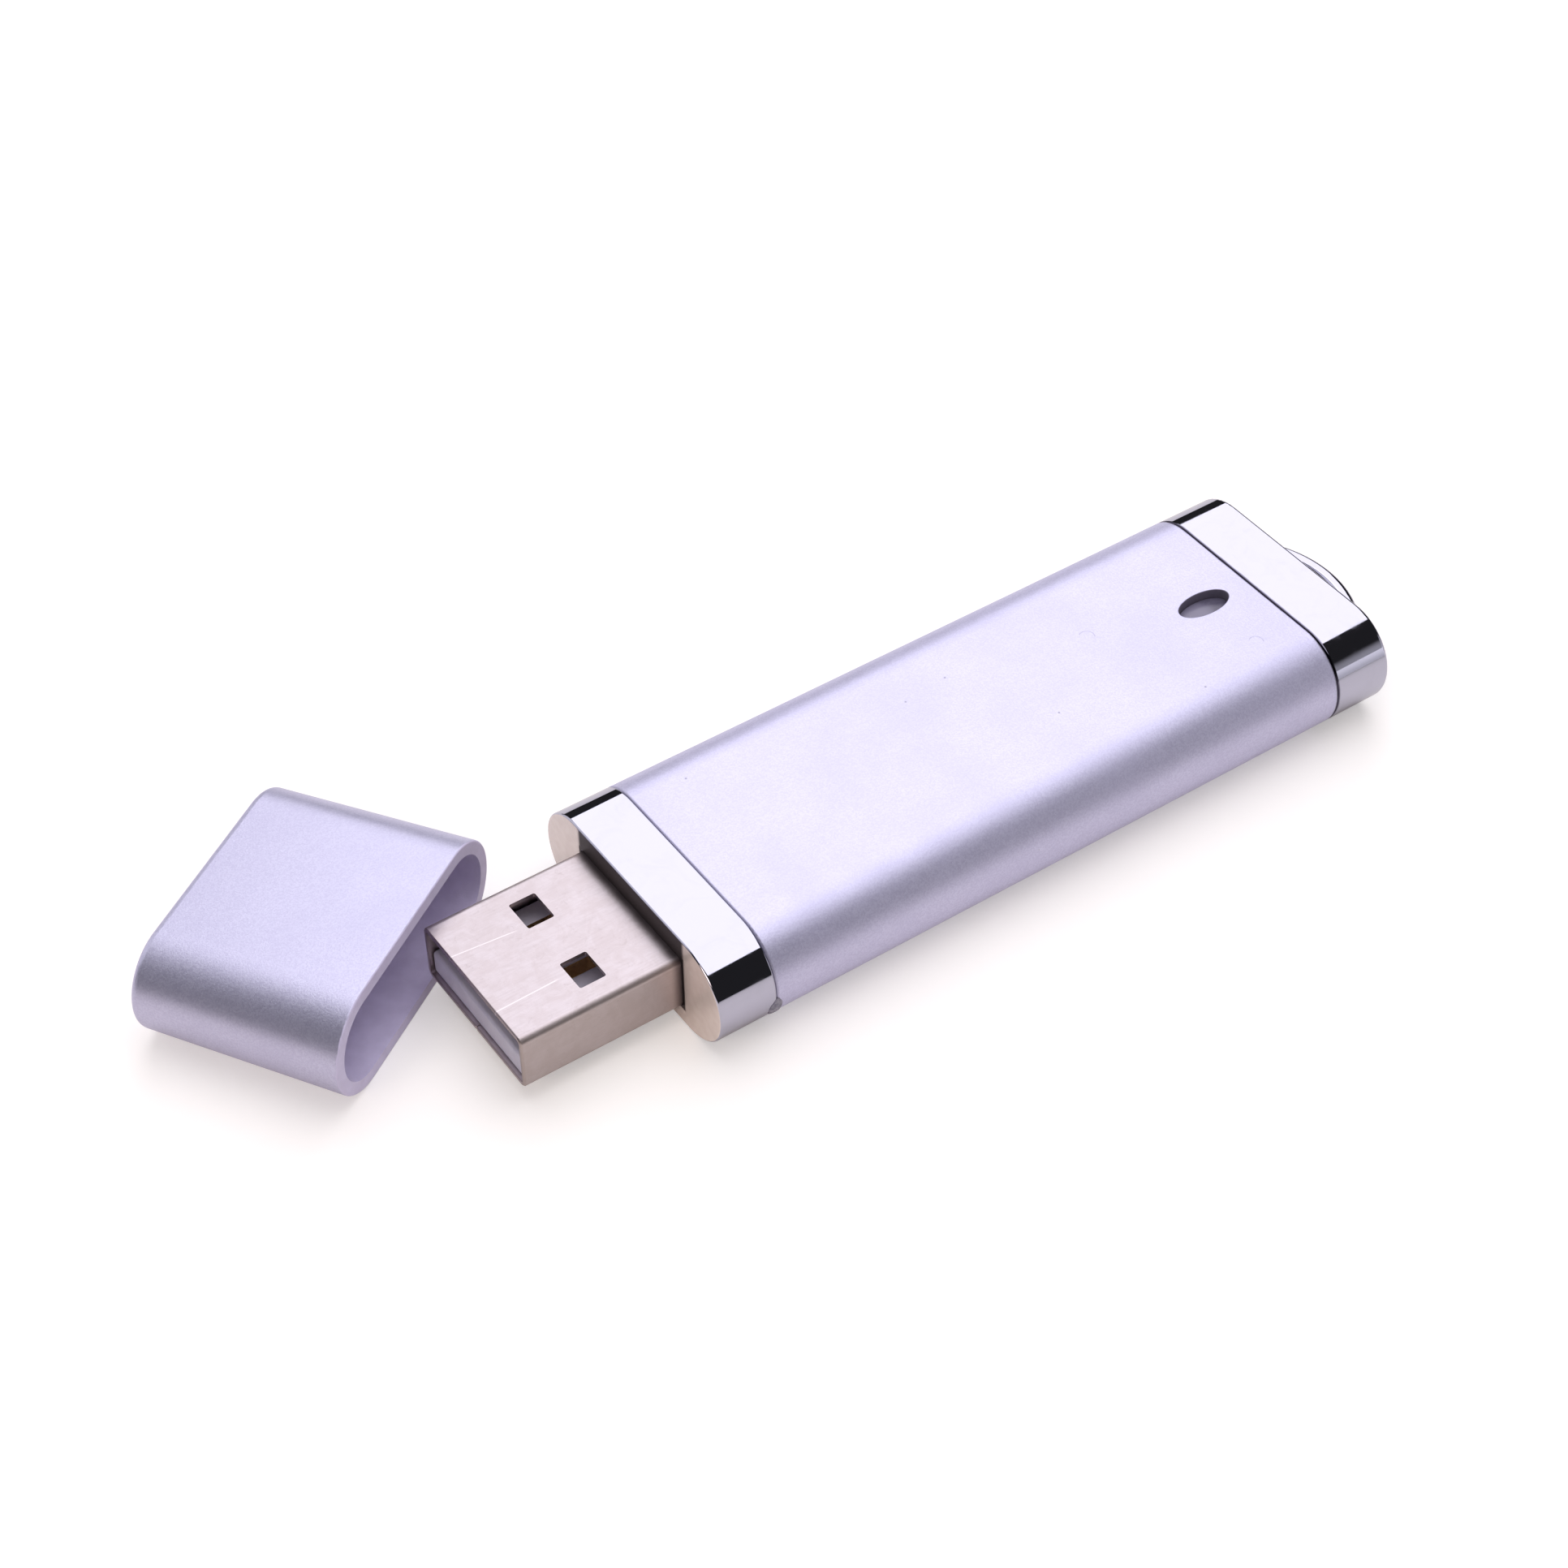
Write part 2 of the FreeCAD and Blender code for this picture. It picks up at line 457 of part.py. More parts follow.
def usb_shell():
    """The plug's shell: a folded tube of sheet steel with windows, a seam slit and two soldering tabs."""
    body = new_body("usb_shell")
    total = "PlugReach + ShellBack"
    bottom, top = "PlugCentre - PlugHeight / 2", "PlugCentre + PlugHeight / 2"
    outside = new_sketch(body, "shell_outside", "YZ_Plane", "-1 * PlugReach")
    rectangle(outside, "-0.5 * PlugWidth", "0.5 * PlugWidth", bottom, top)
    bar = pad(body, "shell_pad", outside, total)
    along = value(total)
    dress(body, "Fillet", "shell_bends", bar, lambda box: near(box.XLength, along), "ShellBend")
    inside = new_sketch(body, "shell_inside", "YZ_Plane", "ShellBack")
    rectangle(inside, "-0.5 * PlugWidth + SheetThickness", "0.5 * PlugWidth - SheetThickness",
              "%s + SheetThickness" % bottom, "%s - SheetThickness" % top)
    bore = pocket(body, "shell_bore", inside, total)
    half = value("PlugWidth / 2 - SheetThickness")
    dress(body, "Fillet", "shell_inner_bends", bore,
          lambda box: near(box.XLength, along) and near(abs(box.YMin), half) and near(box.YLength, 0),
          "ShellBend - SheetThickness")
    windows = new_sketch(body, "window_outlines", "XY_Plane", "PlugCentre + PlugHeight")
    front = "WindowFront - PlugReach"
    for side in ("-0.5", "0.5"):
        rectangle(windows, front, "%s + WindowLength" % front,
                  "%s * WindowSpacing - WindowWidth / 2" % side,
                  "%s * WindowSpacing + WindowWidth / 2" % side)
    holes = pocket(body, "windows", windows, "2 * PlugHeight")
    corner_x = (value(front), value("%s + WindowLength" % front))
    dress(body, "Fillet", "window_corners", holes,
          lambda box: near(box.ZLength, value("SheetThickness")) and near(box.XLength, 0)
          and near(box.YLength, 0) and any(near(box.XMin, x) for x in corner_x), "ShellCornerRound")
    slit = new_sketch(body, "seam_slit_outline", "XY_Plane", bottom + " - Overrun / 2")
    rectangle(slit, "-1 * PlugReach - Overrun", "ShellBack + Overrun", "-0.5 * SeamSlit", "0.5 * SeamSlit")
    pocket(body, "seam_slit", slit, "SheetThickness + Overrun", backwards=True)
    cut_away = new_sketch(body, "rear_cut_outline", "XZ_Plane", "-1 * PlugWidth")
    rear_cut(cut_away)
    pocket(body, "rear_cut", cut_away, "2 * PlugWidth", backwards=True)
    tip = -value("PlugReach")
    dress(body, "Chamfer", "shell_front_edge", body.Tip,
          lambda box: lies_at_x(tip)(box) and outer_of_shell(box), "ShellEdge")


def outer_of_shell(box):
    """Whether an edge at the plug's tip belongs to the shell's outside."""
    half, low = value("PlugWidth / 2"), value("PlugCentre - PlugHeight / 2")
    high = value("PlugCentre + PlugHeight / 2")
    return near(max(-box.YMin, box.YMax), half) or near(box.ZMin, low) or near(box.ZMax, high)


def rear_cut(sketch):
    """The side view of what is cut away under the shell's rear: all but a tab on each side."""
    below, above_board = "PlugCentre - PlugHeight / 2 - Overrun", "BoardTop + ContactPlay"
    floor, ceiling = value(below), value(above_board)
    front, back = value("ShellCutFront"), value("ShellBack + Overrun")
    tab0, tab1, tip = value("TabFront"), value("TabFront + TabLength"), value("TabBottom")
    points = [Vector(x, y, 0) for x, y in ((front, floor), (back, floor), (back, ceiling), (tab1, ceiling),
                                           (tab1, tip), (tab0, tip), (tab0, ceiling), (front, ceiling))]
    for n, point in enumerate(points):
        sketch.addGeometry(Part.LineSegment(point, points[(n + 1) % 8]), False)
    for n in range(8):
        sketch.addConstraint(Sketcher.Constraint("Coincident", n, 2, (n + 1) % 8, 1))
        sketch.addConstraint(Sketcher.Constraint("Vertical" if n % 2 else "Horizontal", n))
    sketch.addConstraint(Sketcher.Constraint("Horizontal", 2, 2, 6, 2))
    for kind, line, end, formula in (
            ("DistanceX", 0, 1, "ShellCutFront"), ("DistanceX", 0, 2, "ShellBack + Overrun"),
            ("DistanceX", 3, 1, "TabFront + TabLength"), ("DistanceX", 6, 1, "TabFront"),
            ("DistanceY", 0, 1, below), ("DistanceY", 2, 2, above_board), ("DistanceY", 4, 1, "TabBottom")):
        dimension(sketch, kind, (-1, 1, line, end), formula)


CONTACTS = (
    # label, place in spacings from the middle, spacing, distance from the plug's tip
    ("contact_power", "0.5", "OuterContactSpacing", "OuterContactSink"),
    ("contact_data_minus", "0.5", "InnerContactSpacing", "InnerContactSink"),
    ("contact_data_plus", "-0.5", "InnerContactSpacing", "InnerContactSink"),
    ("contact_ground", "-0.5", "OuterContactSpacing", "OuterContactSink"),
)
TONGUE_TOP = "PlugCentre - PlugHeight / 2 + SheetThickness + TongueHeight"


def contact(label, side, spacing, sink):
    """One contact: a strip along the tongue with its front end turned down, and a tail on the board."""
    body = new_body(label)
    strip = new_sketch(body, label + "_outline", "XY_Plane", TONGUE_TOP + " + ContactProud")
    rectangle(strip, "%s - PlugReach" % sink, "ContactBack",
              "%s * %s - ContactWidth / 2" % (side, spacing), "%s * %s + ContactWidth / 2" % (side, spacing))
    bar = pad(body, label + "_strip", strip, "ContactThickness", backwards=True)
    front, top = value("%s - PlugReach" % sink), value(TONGUE_TOP + " + ContactProud")
    dress(body, "Fillet", label + "_nose", bar,
          lambda box: near(box.XMin, front) and near(box.XMax, front) and near(box.ZMin, top)
          and near(box.ZMax, top), "ContactThickness * 0.8")


def plug_insulator():
    """The pale insulator: a tongue along the shell's floor and a block that fills the shell behind it."""
    body = new_body("plug_insulator")
    bottom = "PlugCentre - PlugHeight / 2 + SheetThickness"
    block = new_sketch(body, "block_outline", "YZ_Plane", "BlockFront")
    rectangle(block, "-0.5 * PlugWidth + SheetThickness", "0.5 * PlugWidth - SheetThickness", bottom,
              "PlugCentre + PlugHeight / 2 - SheetThickness")
    solid = pad(body, "insulator_block", block, "BlockBack - BlockFront")
    along = value("BlockBack - BlockFront")
    dress(body, "Fillet", "block_edges", solid, lambda box: near(box.XLength, along),
          "ShellBend - SheetThickness + ContactPlay")
    tongue = new_sketch(body, "tongue_outline", "YZ_Plane", "BlockFront + Overrun")
    rectangle(tongue, "-0.5 * TongueWidth", "0.5 * TongueWidth", bottom, TONGUE_TOP)
    slab = pad(body, "tongue", tongue, "PlugReach - TongueSink + BlockFront + Overrun", backwards=True)
    nose = value("TongueSink - PlugReach")
    dress(body, "Fillet", "tongue_nose", slab,
          lambda box: lies_at_x(nose)(box) and near(box.ZLength, 0), "TongueRound")
    grooves = new_sketch(body, "groove_outlines", "XY_Plane", TONGUE_TOP + " + ContactProud + ContactPlay")
    for _, side, spacing, sink in CONTACTS:
        rectangle(grooves, "%s - PlugReach - ContactPlay" % sink, "BlockBack + Overrun",
                  "%s * %s - ContactWidth / 2 - ContactPlay" % (side, spacing),
                  "%s * %s + ContactWidth / 2 + ContactPlay" % (side, spacing))
    pocket(body, "contact_grooves", grooves, "ContactThickness + 2 * ContactPlay")


def circuit_board():
    """The circuit board, with slots for the shell's tabs and a few vias."""
    body = new_body("circuit_board")
    outline = new_sketch(body, "board_outline", "XY_Plane", "BoardTop - BoardThickness")
    rectangle(outline, "BoardFront", "BoardBack", "-0.5 * BoardWidth", "0.5 * BoardWidth")
    slab = pad(body, "board_pad", outline, "BoardThickness")
    dress(body, "Chamfer", "board_corners", slab, lambda box: near(box.ZLength, value("BoardThickness"))
          and near(box.XLength, 0) and near(box.YLength, 0), "BoardCorner")
    openings = new_sketch(body, "board_openings", "XY_Plane", "BoardTop")
    for side in (-1, 1):
        middle = "%d * ( PlugWidth - SheetThickness ) / 2" % side
        rectangle(openings, "TabFront - SlotPlay", "TabFront + TabLength + SlotPlay",
                  "%s - SheetThickness / 2 - SlotPlay" % middle,
                  "%s + SheetThickness / 2 + SlotPlay" % middle)
    for x, y in VIA_PLACES:
        circle(openings, x, y, "ViaRadius")
    pocket(body, "board_slots_and_vias", openings, "BoardThickness")


def chip(label, middle_x, middle_y, length, width, height, bevel, mark=True):
    """A moulded chip body standing just above the board, with a dimple that marks its first lead."""
    body = new_body(label)
    outline = new_sketch(body, label + "_outline", "XY_Plane", "BoardTop + ChipStandoff")
    rectangle(outline, "%s - %s / 2" % (middle_x, length), "%s + %s / 2" % (middle_x, length),
              "%s - %s / 2" % (middle_y, width), "%s + %s / 2" % (middle_y, width))
    block = pad(body, label + "_pad", outline, height)
    top = value("BoardTop + ChipStandoff + %s" % height)
    dress(body, "Chamfer", label + "_edges", block,
          lambda box: near(box.ZMin, top) or near(box.ZLength, value(height)), bevel)
    if mark:
        dimple = new_sketch(body, label + "_mark_outline", "XY_Plane", "BoardTop + ChipStandoff + " + height)
        circle(dimple, "%s - %s / 2 + MarkInset" % (middle_x, length),
               "%s - %s / 2 + MarkInset" % (middle_y, width), "MarkRadius")
        pocket(body, label + "_mark", dimple, "MarkDepth")


def new_group(label, solids):
    """A sub-part that is a set of separate solids, worked out from the sheet's values."""
    group = doc.addObject("Part::Feature", label)
    group.Label = label
    group.Shape = Part.makeCompound(solids)
    group.Placement = Placement()
    sub_parts.append(group)


def gull_lead(reach, rise, width, thickness):
    """A lead from (0, 0, rise) out along +X to its foot on the board at Z = 0, centred on Y = 0."""
    shoulder, ankle = 0.3 * reach, 0.5 * reach
    outline = ((0, rise), (shoulder, rise), (ankle, thickness), (reach, thickness), (reach, 0),
               (ankle - thickness, 0), (shoulder - thickness, rise - thickness), (0, rise - thickness))
    points = [Vector(x, -width / 2, z) for x, z in outline]
    return Part.Face(Part.makePolygon(points + points[:1])).extrude(Vector(0, width, 0))


def placed(shape, x, y, z, turn):
    """A copy of the shape turned about Z and moved."""
    copy = shape.copy()
    copy.Placement = Placement(Vector(x, y, z), Rotation(Vector(0, 0, 1), turn))
    return copy


def lead_rows(middle_x, middle_y, along, across, sides, per_side, pitch, lead):
    """Copies of a lead on the given sides of a chip.  A side is the turn in degrees that faces it."""
    solids = []
    for turn in sides:
        out = (along if turn % 180 == 0 else across) / 2
        facing = Rotation(Vector(0, 0, 1), turn)
        for n in range(per_side):
            place = facing.multVec(Vector(out, (n - (per_side - 1) / 2) * pitch, 0))
            solids.append(placed(lead, middle_x + place.x, middle_y + place.y, value("BoardTop"), turn))
    return solids


def leads():
    """The leads of the flash memory, the controller and the regulator."""
    pitch, width, thickness = value("LeadPitch"), value("LeadWidth"), value("LeadThickness")
    rise = value("ChipStandoff + FlashHeight / 2 + LeadThickness / 2")
    lead = gull_lead(value("( FlashSpan - FlashLength ) / 2"), rise, width, thickness)
    new_group("flash_leads", lead_rows(value("FlashX"), 0, value("FlashLength"), value("FlashWidth"),
                                       (0, 180), 24, pitch, lead))
    side = value("ControllerSide")
    rise = value("ChipStandoff + ControllerHeight / 2 + LeadThickness / 2")
    lead = gull_lead(value("( ControllerSpan - ControllerSide ) / 2"), rise, width, thickness)
    new_group("controller_leads", lead_rows(value("ControllerX"), 0, side, side, (0, 90, 180, 270), 12, pitch,
                                            lead))
    rise = value("ChipStandoff + RegulatorHeight / 2 + LeadThickness / 2")
    lead = gull_lead(value("( RegulatorSpan - RegulatorWidth ) / 2"), rise, value("RegulatorLeadWidth"),
                     thickness)
    place = value("RegulatorX"), value("RegulatorY"), value("RegulatorLength"), value("RegulatorWidth")
    new_group("regulator_leads", lead_rows(*place, (90,), 2, value("RegulatorPitch"), lead)
              + lead_rows(*place, (270,), 1, 0, lead))


def chips_and_terminals():
    """The small capacitors and resistors, as ceramic bodies between tinned ends."""
    width, end, board = value("ChipWidth"), value("TerminalLength"), value("BoardTop")
    middle = value("ChipLength - 2 * TerminalLength")
    tinned = []
    for label, places, height in (("capacitors", CAPACITOR_PLACES, value("CapacitorHeight")),
                                  ("resistors", RESISTOR_PLACES, value("ResistorHeight"))):
        ceramic = Part.makeBox(middle, width, height, Vector(-middle / 2, -width / 2, 0))
        caps = [Part.makeBox(end, width, height, Vector(x, -width / 2, 0))
                for x in (-middle / 2 - end, middle / 2)]
        bodies = []
        for x, y, turned in places:
            turn = 90 if turned else 0
            bodies.append(placed(ceramic, x, y, board, turn))
            tinned.extend(placed(cap, x, y, board, turn) for cap in caps)
        new_group(label, bodies)
    new_group("chip_terminals", tinned)


def solder_joints():
    """Solder: a cone round each tab's end under the board, and one over each contact's tail."""
    solids = []
    tall, thickness, board = value("SolderHeight"), value("SheetThickness"), value("BoardTop")
    low, tab_y = board - value("BoardThickness") - tall, value("PlugWidth / 2 - SheetThickness / 2")
    tab_front, tab_length = value("TabFront"), value("TabLength")
    for side in (-1, 1):
        cone = Part.makeCone(value("TabSolderTip"), value("TabSolderReach"), tall,
                             Vector(tab_front + tab_length / 2, side * tab_y, low))
        tab = Part.makeBox(tab_length, thickness, 2 * tall,
                           Vector(tab_front, side * tab_y - thickness / 2, low - tall))
        solids.append(cone.cut(tab))
    tail, width, strip_height = value("ContactBack"), value("ContactWidth"), value("ContactThickness")
    for _, side, spacing, _ in CONTACTS:
        y = float(side) * value(spacing)
        cone = Part.makeCone(value("ContactSolderReach"), value("ContactSolderTip"), tall,
                             Vector(tail, y, board))
        strip = Part.makeBox(2 * width, width, strip_height, Vector(tail - 2 * width, y - width / 2, board))
        solids.append(cone.cut(strip))
    new_group("solder_joints", solids)


def tilted_sketch(body, name):
    """A sketch across the cap just outside its mouth, tilted by the draft so that its normal points a little
    down.  A section drafted along that normal keeps a level underside."""
    sketch = new_sketch(body, name, "YZ_Plane")
    sketch.AttachmentOffset = Placement(Vector(), Rotation(Vector(1, 0, 0), value("CapDraft")))
    set_size(sketch, "AttachmentOffset.Rotation.Angle", "CapDraft")
    set_size(sketch, "AttachmentOffset.Base.z", "-1 * CapTrim")
    return sketch


def trim(body, name, start, end):
    """Cuts away everything between two x, each a formula."""
    sketch = new_sketch(body, name + "_outline", "XZ_Plane", "-1 * CapMouthWidth")
    rectangle(sketch, start, end, "-0.5 * CapMouthHeight", "2 * CapMouthHeight")
    return pocket(body, name, sketch, "2 * CapMouthWidth", backwards=True)


def cap():
    """The cap: a drafted flat-oval cup, widest and highest at its mouth.  It is drawn with its mouth at X = 0
    and its closed end at +X, and then laid on the table beside the plug."""
    body = new_body("cap")
    outline = tilted_sketch(body, "cap_outline")
    flat_oval(outline, "CapMouthWidth", "CapMouthHeight", "CapMouthHeight / 2")
    outside = pad(body, "cap_outside", outline, "CapLength + 2 * CapTrim")
    set_size(outside, "TaperAngle", "-1 * CapDraft")
    trim(body, "mouth_trim", "-1 * CapLength", "0")
    block = trim(body, "end_trim", "CapLength", "2 * CapLength")
    closed = dress(body, "Fillet", "cap_end_round", block, lies_at_x(value("CapLength")), "CapEndRound")
    dress(body, "Fillet", "cap_rim_round", closed, lies_at_x(0), "CapRimRound")
    inner = tilted_sketch(body, "cavity_outline")
    flat_oval(inner, "CapMouthWidth - 2 * CapWall", "CapMouthHeight - 2 * CapWall", "CapMouthHeight / 2")
    cavity = pocket(body, "cap_cavity", inner, "CapDepth + CapTrim", backwards=True)
    set_size(cavity, "TaperAngle", "-1 * CapInnerDraft")
    doc.recompute()
    floor = value("CapDepth")
    dress(body, "Fillet", "cavity_floor_round", cavity,
          lambda box: box.XMin > floor - 0.3 and box.XMax < floor + 0.3, "CapInnerRound")
    body.Placement = Placement(Vector(value("CapRestX"), value("CapRestY"), 0),
                               Rotation(Vector(0, 0, 1), value("CapRestTurn")))
    set_size(body, "Placement.Base.x", "CapRestX")
    set_size(body, "Placement.Base.y", "CapRestY")
    set_size(body, "Placement.Rotation.Angle", "CapRestTurn")


main_sleeve()
front_collar()
tail_cap()
led_lens()
usb_shell()
plug_insulator()
for strip in CONTACTS:
    contact(*strip)
circuit_board()
chip("flash_memory", "FlashX", "0", "FlashLength", "FlashWidth", "FlashHeight", "ChipBevel")
chip("controller", "ControllerX", "0", "ControllerSide", "ControllerSide", "ControllerHeight", "ChipBevel")
chip("regulator", "RegulatorX", "RegulatorY", "RegulatorLength", "RegulatorWidth", "RegulatorHeight",
     "RegulatorBevel", mark=False)
chip("crystal", "CrystalX", "CrystalY", "CrystalLength", "CrystalWidth", "CrystalHeight", "CrystalBevel",
     mark=False)
chip("status_led", "LightX", "LightY", "LedLength", "LedWidth", "LedHeight", "RegulatorBevel", mark=False)
leads()
chips_and_terminals()
solder_joints()
cap()
doc.recompute()

for thing in doc.Objects:
    if "Invalid" in thing.State or "Error" in thing.State:
        raise ValueError("%s failed: %s" % (thing.Label, thing.State))
os.makedirs("parts", exist_ok=True)
for part in sub_parts:
    if part.Shape.isNull() or not part.Shape.isValid() or part.Shape.Volume <= 0:
        raise ValueError("%s has no valid shape" % part.Label)
    part.Shape.exportStep(os.path.join("parts", part.Label + ".step"))
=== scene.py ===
import math

import bmesh
import bpy
from mathutils import Matrix, Vector


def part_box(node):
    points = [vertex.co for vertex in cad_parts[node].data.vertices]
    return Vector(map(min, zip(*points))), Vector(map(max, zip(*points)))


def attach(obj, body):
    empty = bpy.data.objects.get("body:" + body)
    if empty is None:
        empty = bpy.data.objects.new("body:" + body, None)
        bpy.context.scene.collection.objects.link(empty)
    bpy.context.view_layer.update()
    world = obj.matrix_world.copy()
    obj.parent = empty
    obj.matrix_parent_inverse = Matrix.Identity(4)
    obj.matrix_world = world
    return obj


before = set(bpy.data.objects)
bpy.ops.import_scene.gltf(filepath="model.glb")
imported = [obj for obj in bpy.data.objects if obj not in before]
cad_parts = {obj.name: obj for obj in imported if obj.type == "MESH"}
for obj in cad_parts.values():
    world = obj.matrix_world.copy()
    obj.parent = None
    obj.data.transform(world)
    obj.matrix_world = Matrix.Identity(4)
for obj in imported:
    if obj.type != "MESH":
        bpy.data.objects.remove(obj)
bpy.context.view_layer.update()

# A USB flash drive and its cap on a white table, in metres.  The frame is the CAD's: +X runs from the plug to
# the lanyard loop, +Z is up, and the table is Z = 0.
MM = 0.001

# The photograph's camera: what it looks at on the table, from which direction and how far away.
CAMERA_TARGET = Vector((17.67, 8.29, 0.0)) * MM
CAMERA_AZIMUTH, CAMERA_ELEVATION, CAMERA_ROLL = -124.15, 44.68, -0.74
CAMERA_DISTANCE = 218.8 * MM
CAMERA_LENS, CAMERA_SENSOR = 72.52, 36.0

# Light and shade.  A radiance of 1 is what fills a white pixel.
KEY_RADIANCE = 1.67
WARM_RADIANCE = 4.4
CARD_RADIANCE = 0.62
ROOM_RADIANCE = 0.02
AMBIENT_RADIANCE = 0.36
BACKDROP_RADIANCE = 1.05
LIGHT_TINT = (0.97, 0.955, 1.0)
WARM_TINT = (1.0, 0.84, 0.74)

# The table's glow under the drive, and the distances from the origin, in millimetres, between which it grows
# to the backdrop's radiance.
TABLE_GLOW, GLOW_START, GLOW_END = 0.30, 115, 320

# Pale walls that mirror in the metal: azimuth, elevation, the angle out to full light, the angle where the
# light ends, and radiance.
PALE_WALLS = ((115, 27, 18, 39, 0.85), (-40, 13, 8, 20, 0.65))


def direction(azimuth, elevation):
    """The unit vector towards an azimuth and elevation in degrees, with azimuth 0 along +X."""
    a, e = math.radians(azimuth), math.radians(elevation)
    return Vector((math.cos(e) * math.cos(a), math.cos(e) * math.sin(a), math.sin(e)))


def facing(towards, roll=0.0):
    """The rotation of a camera or light whose -Z axis points along the direction."""
    rolled = Matrix.Rotation(math.radians(roll), 4, "Z")
    return towards.to_track_quat("-Z", "Y").to_matrix().to_4x4() @ rolled


def add_object(name, data):
    thing = bpy.data.objects.new(name, data)
    bpy.context.scene.collection.objects.link(thing)
    return thing


# ---------------------------------------------------------------------------------------------------------
# Camera, lights and stage
# ---------------------------------------------------------------------------------------------------------

def add_camera():
    data = bpy.data.cameras.new("camera")
    data.lens, data.sensor_width = CAMERA_LENS, CAMERA_SENSOR
    data.clip_start, data.clip_end = 1 * MM, 20.0
    camera = add_object("camera", data)
    away = direction(CAMERA_AZIMUTH, CAMERA_ELEVATION)
    camera.matrix_world = (Matrix.Translation(CAMERA_TARGET + CAMERA_DISTANCE * away)
                           @ facing(-away, CAMERA_ROLL))
    bpy.context.scene.camera = camera


def add_softbox(name, placing, width, length, radiance, tint=LIGHT_TINT, lit=()):
    """A rectangular light that shines along the -Z axis of its placing, on the lit objects or on all."""
    data = bpy.data.lights.new(name, "AREA")
    data.shape, data.size, data.size_y = "RECTANGLE", width, length
    data.energy = radiance * math.pi * width * length
    data.color = tint
    light = add_object(name, data)
    light.matrix_world = placing
    light.visible_camera = False
    if lit:
        receivers = bpy.data.collections.new(name + "_receivers")
        for thing in lit:
            receivers.objects.link(thing)
        light.light_linking.receiver_collection = receivers


def add_lights(table_top):
    """One large softbox overhead that reaches far behind the object, and two that light a little each: a warm
    one on the table and the collar, and a low card that the tail's chrome mirrors."""
    behind = direction(CAMERA_AZIMUTH + 180, 0)
    across = behind.cross(Vector((0, 0, 1)))
    height, near_end, far_end, left, right = 300 * MM, -106 * MM, 750 * MM, -135 * MM, 228 * MM
    middle = behind * (near_end + far_end) / 2 + across * (left + right) / 2 + Vector((0, 0, height))
    upright = Matrix((across, behind, Vector((0, 0, 1)))).transposed().to_4x4()
    add_softbox("key_softbox", Matrix.Translation(middle) @ upright, right - left, far_end - near_end,
                KEY_RADIANCE)
    warm_way, warm_distance, warm_width, warm_length = direction(205, 32), 260 * MM, 180 * MM, 90 * MM
    add_softbox("warm_softbox", Matrix.Translation(warm_way * warm_distance) @ facing(-warm_way), warm_width,
                warm_length, WARM_RADIANCE, WARM_TINT, (table_top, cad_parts["front_collar"]))
    card_way, card_distance, card_low = direction(-60, 0), 120 * MM, 4.6 * MM
    card_width, card_height = 60 * MM, 34 * MM
    tail_low, tail_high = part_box("tail_cap")
    tail = Vector((tail_high.x, tail_low.y, card_low + card_height / 2))
    add_softbox("low_card", Matrix.Translation(tail + card_way * card_distance) @ facing(-card_way),
                card_width, card_height, CARD_RADIANCE, lit=(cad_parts["tail_cap"],))


def add_world():
    """Soft white light on dull surfaces, a white backdrop, and for what mirrors in the metal a dark room with
    the pale walls."""
    world = bpy.data.worlds.new("studio")
    bpy.context.scene.world = world
    world.use_nodes = True
    tree = world.node_tree
    tree.nodes.clear()
    output = tree.nodes.new("ShaderNodeOutputWorld")
    rays = tree.nodes.new("ShaderNodeLightPath")

    def background(radiance):
        node = tree.nodes.new("ShaderNodeBackground")
        node.inputs["Color"].default_value = (*LIGHT_TINT, 1)
        node.inputs["Strength"].default_value = radiance
        return node.outputs[0]

    def choose(share, off, on):
        node = tree.nodes.new("ShaderNodeMixShader")
        tree.links.new(share, node.inputs[0])
        tree.links.new(off, node.inputs[1])
        tree.links.new(on, node.inputs[2])
        return node.outputs[0]

    looked_at = tree.nodes.new("ShaderNodeTexCoord").outputs["Generated"]
    mirrored = background(ROOM_RADIANCE)
    for azimuth, elevation, full, end, radiance in PALE_WALLS:
        towards = tree.nodes.new("ShaderNodeVectorMath")
        towards.operation = "DOT_PRODUCT"
        tree.links.new(looked_at, towards.inputs[0])
        towards.inputs[1].default_value = direction(azimuth, elevation)
        share = tree.nodes.new("ShaderNodeMapRange")
        share.interpolation_type = "SMOOTHSTEP"
        tree.links.new(towards.outputs["Value"], share.inputs["Value"])
        share.inputs["From Min"].default_value = math.cos(math.radians(end))
        share.inputs["From Max"].default_value = math.cos(math.radians(full))
        mirrored = choose(share.outputs["Result"], mirrored, background(radiance))
    lit = choose(rays.outputs["Is Diffuse Ray"], mirrored, background(AMBIENT_RADIANCE))
    seen = choose(rays.outputs["Is Camera Ray"], lit, background(BACKDROP_RADIANCE))
    tree.links.new(seen, output.inputs["Surface"])


# ---------------------------------------------------------------------------------------------------------
# Materials
# ---------------------------------------------------------------------------------------------------------

# The numbers of a mix node's sockets, several of which share a name.
FACTOR, A_NUMBER, B_NUMBER, A_COLOUR, B_COLOUR = 0, 2, 3, 6, 7
MIXED_NUMBER, MIXED_COLOUR = 0, 2


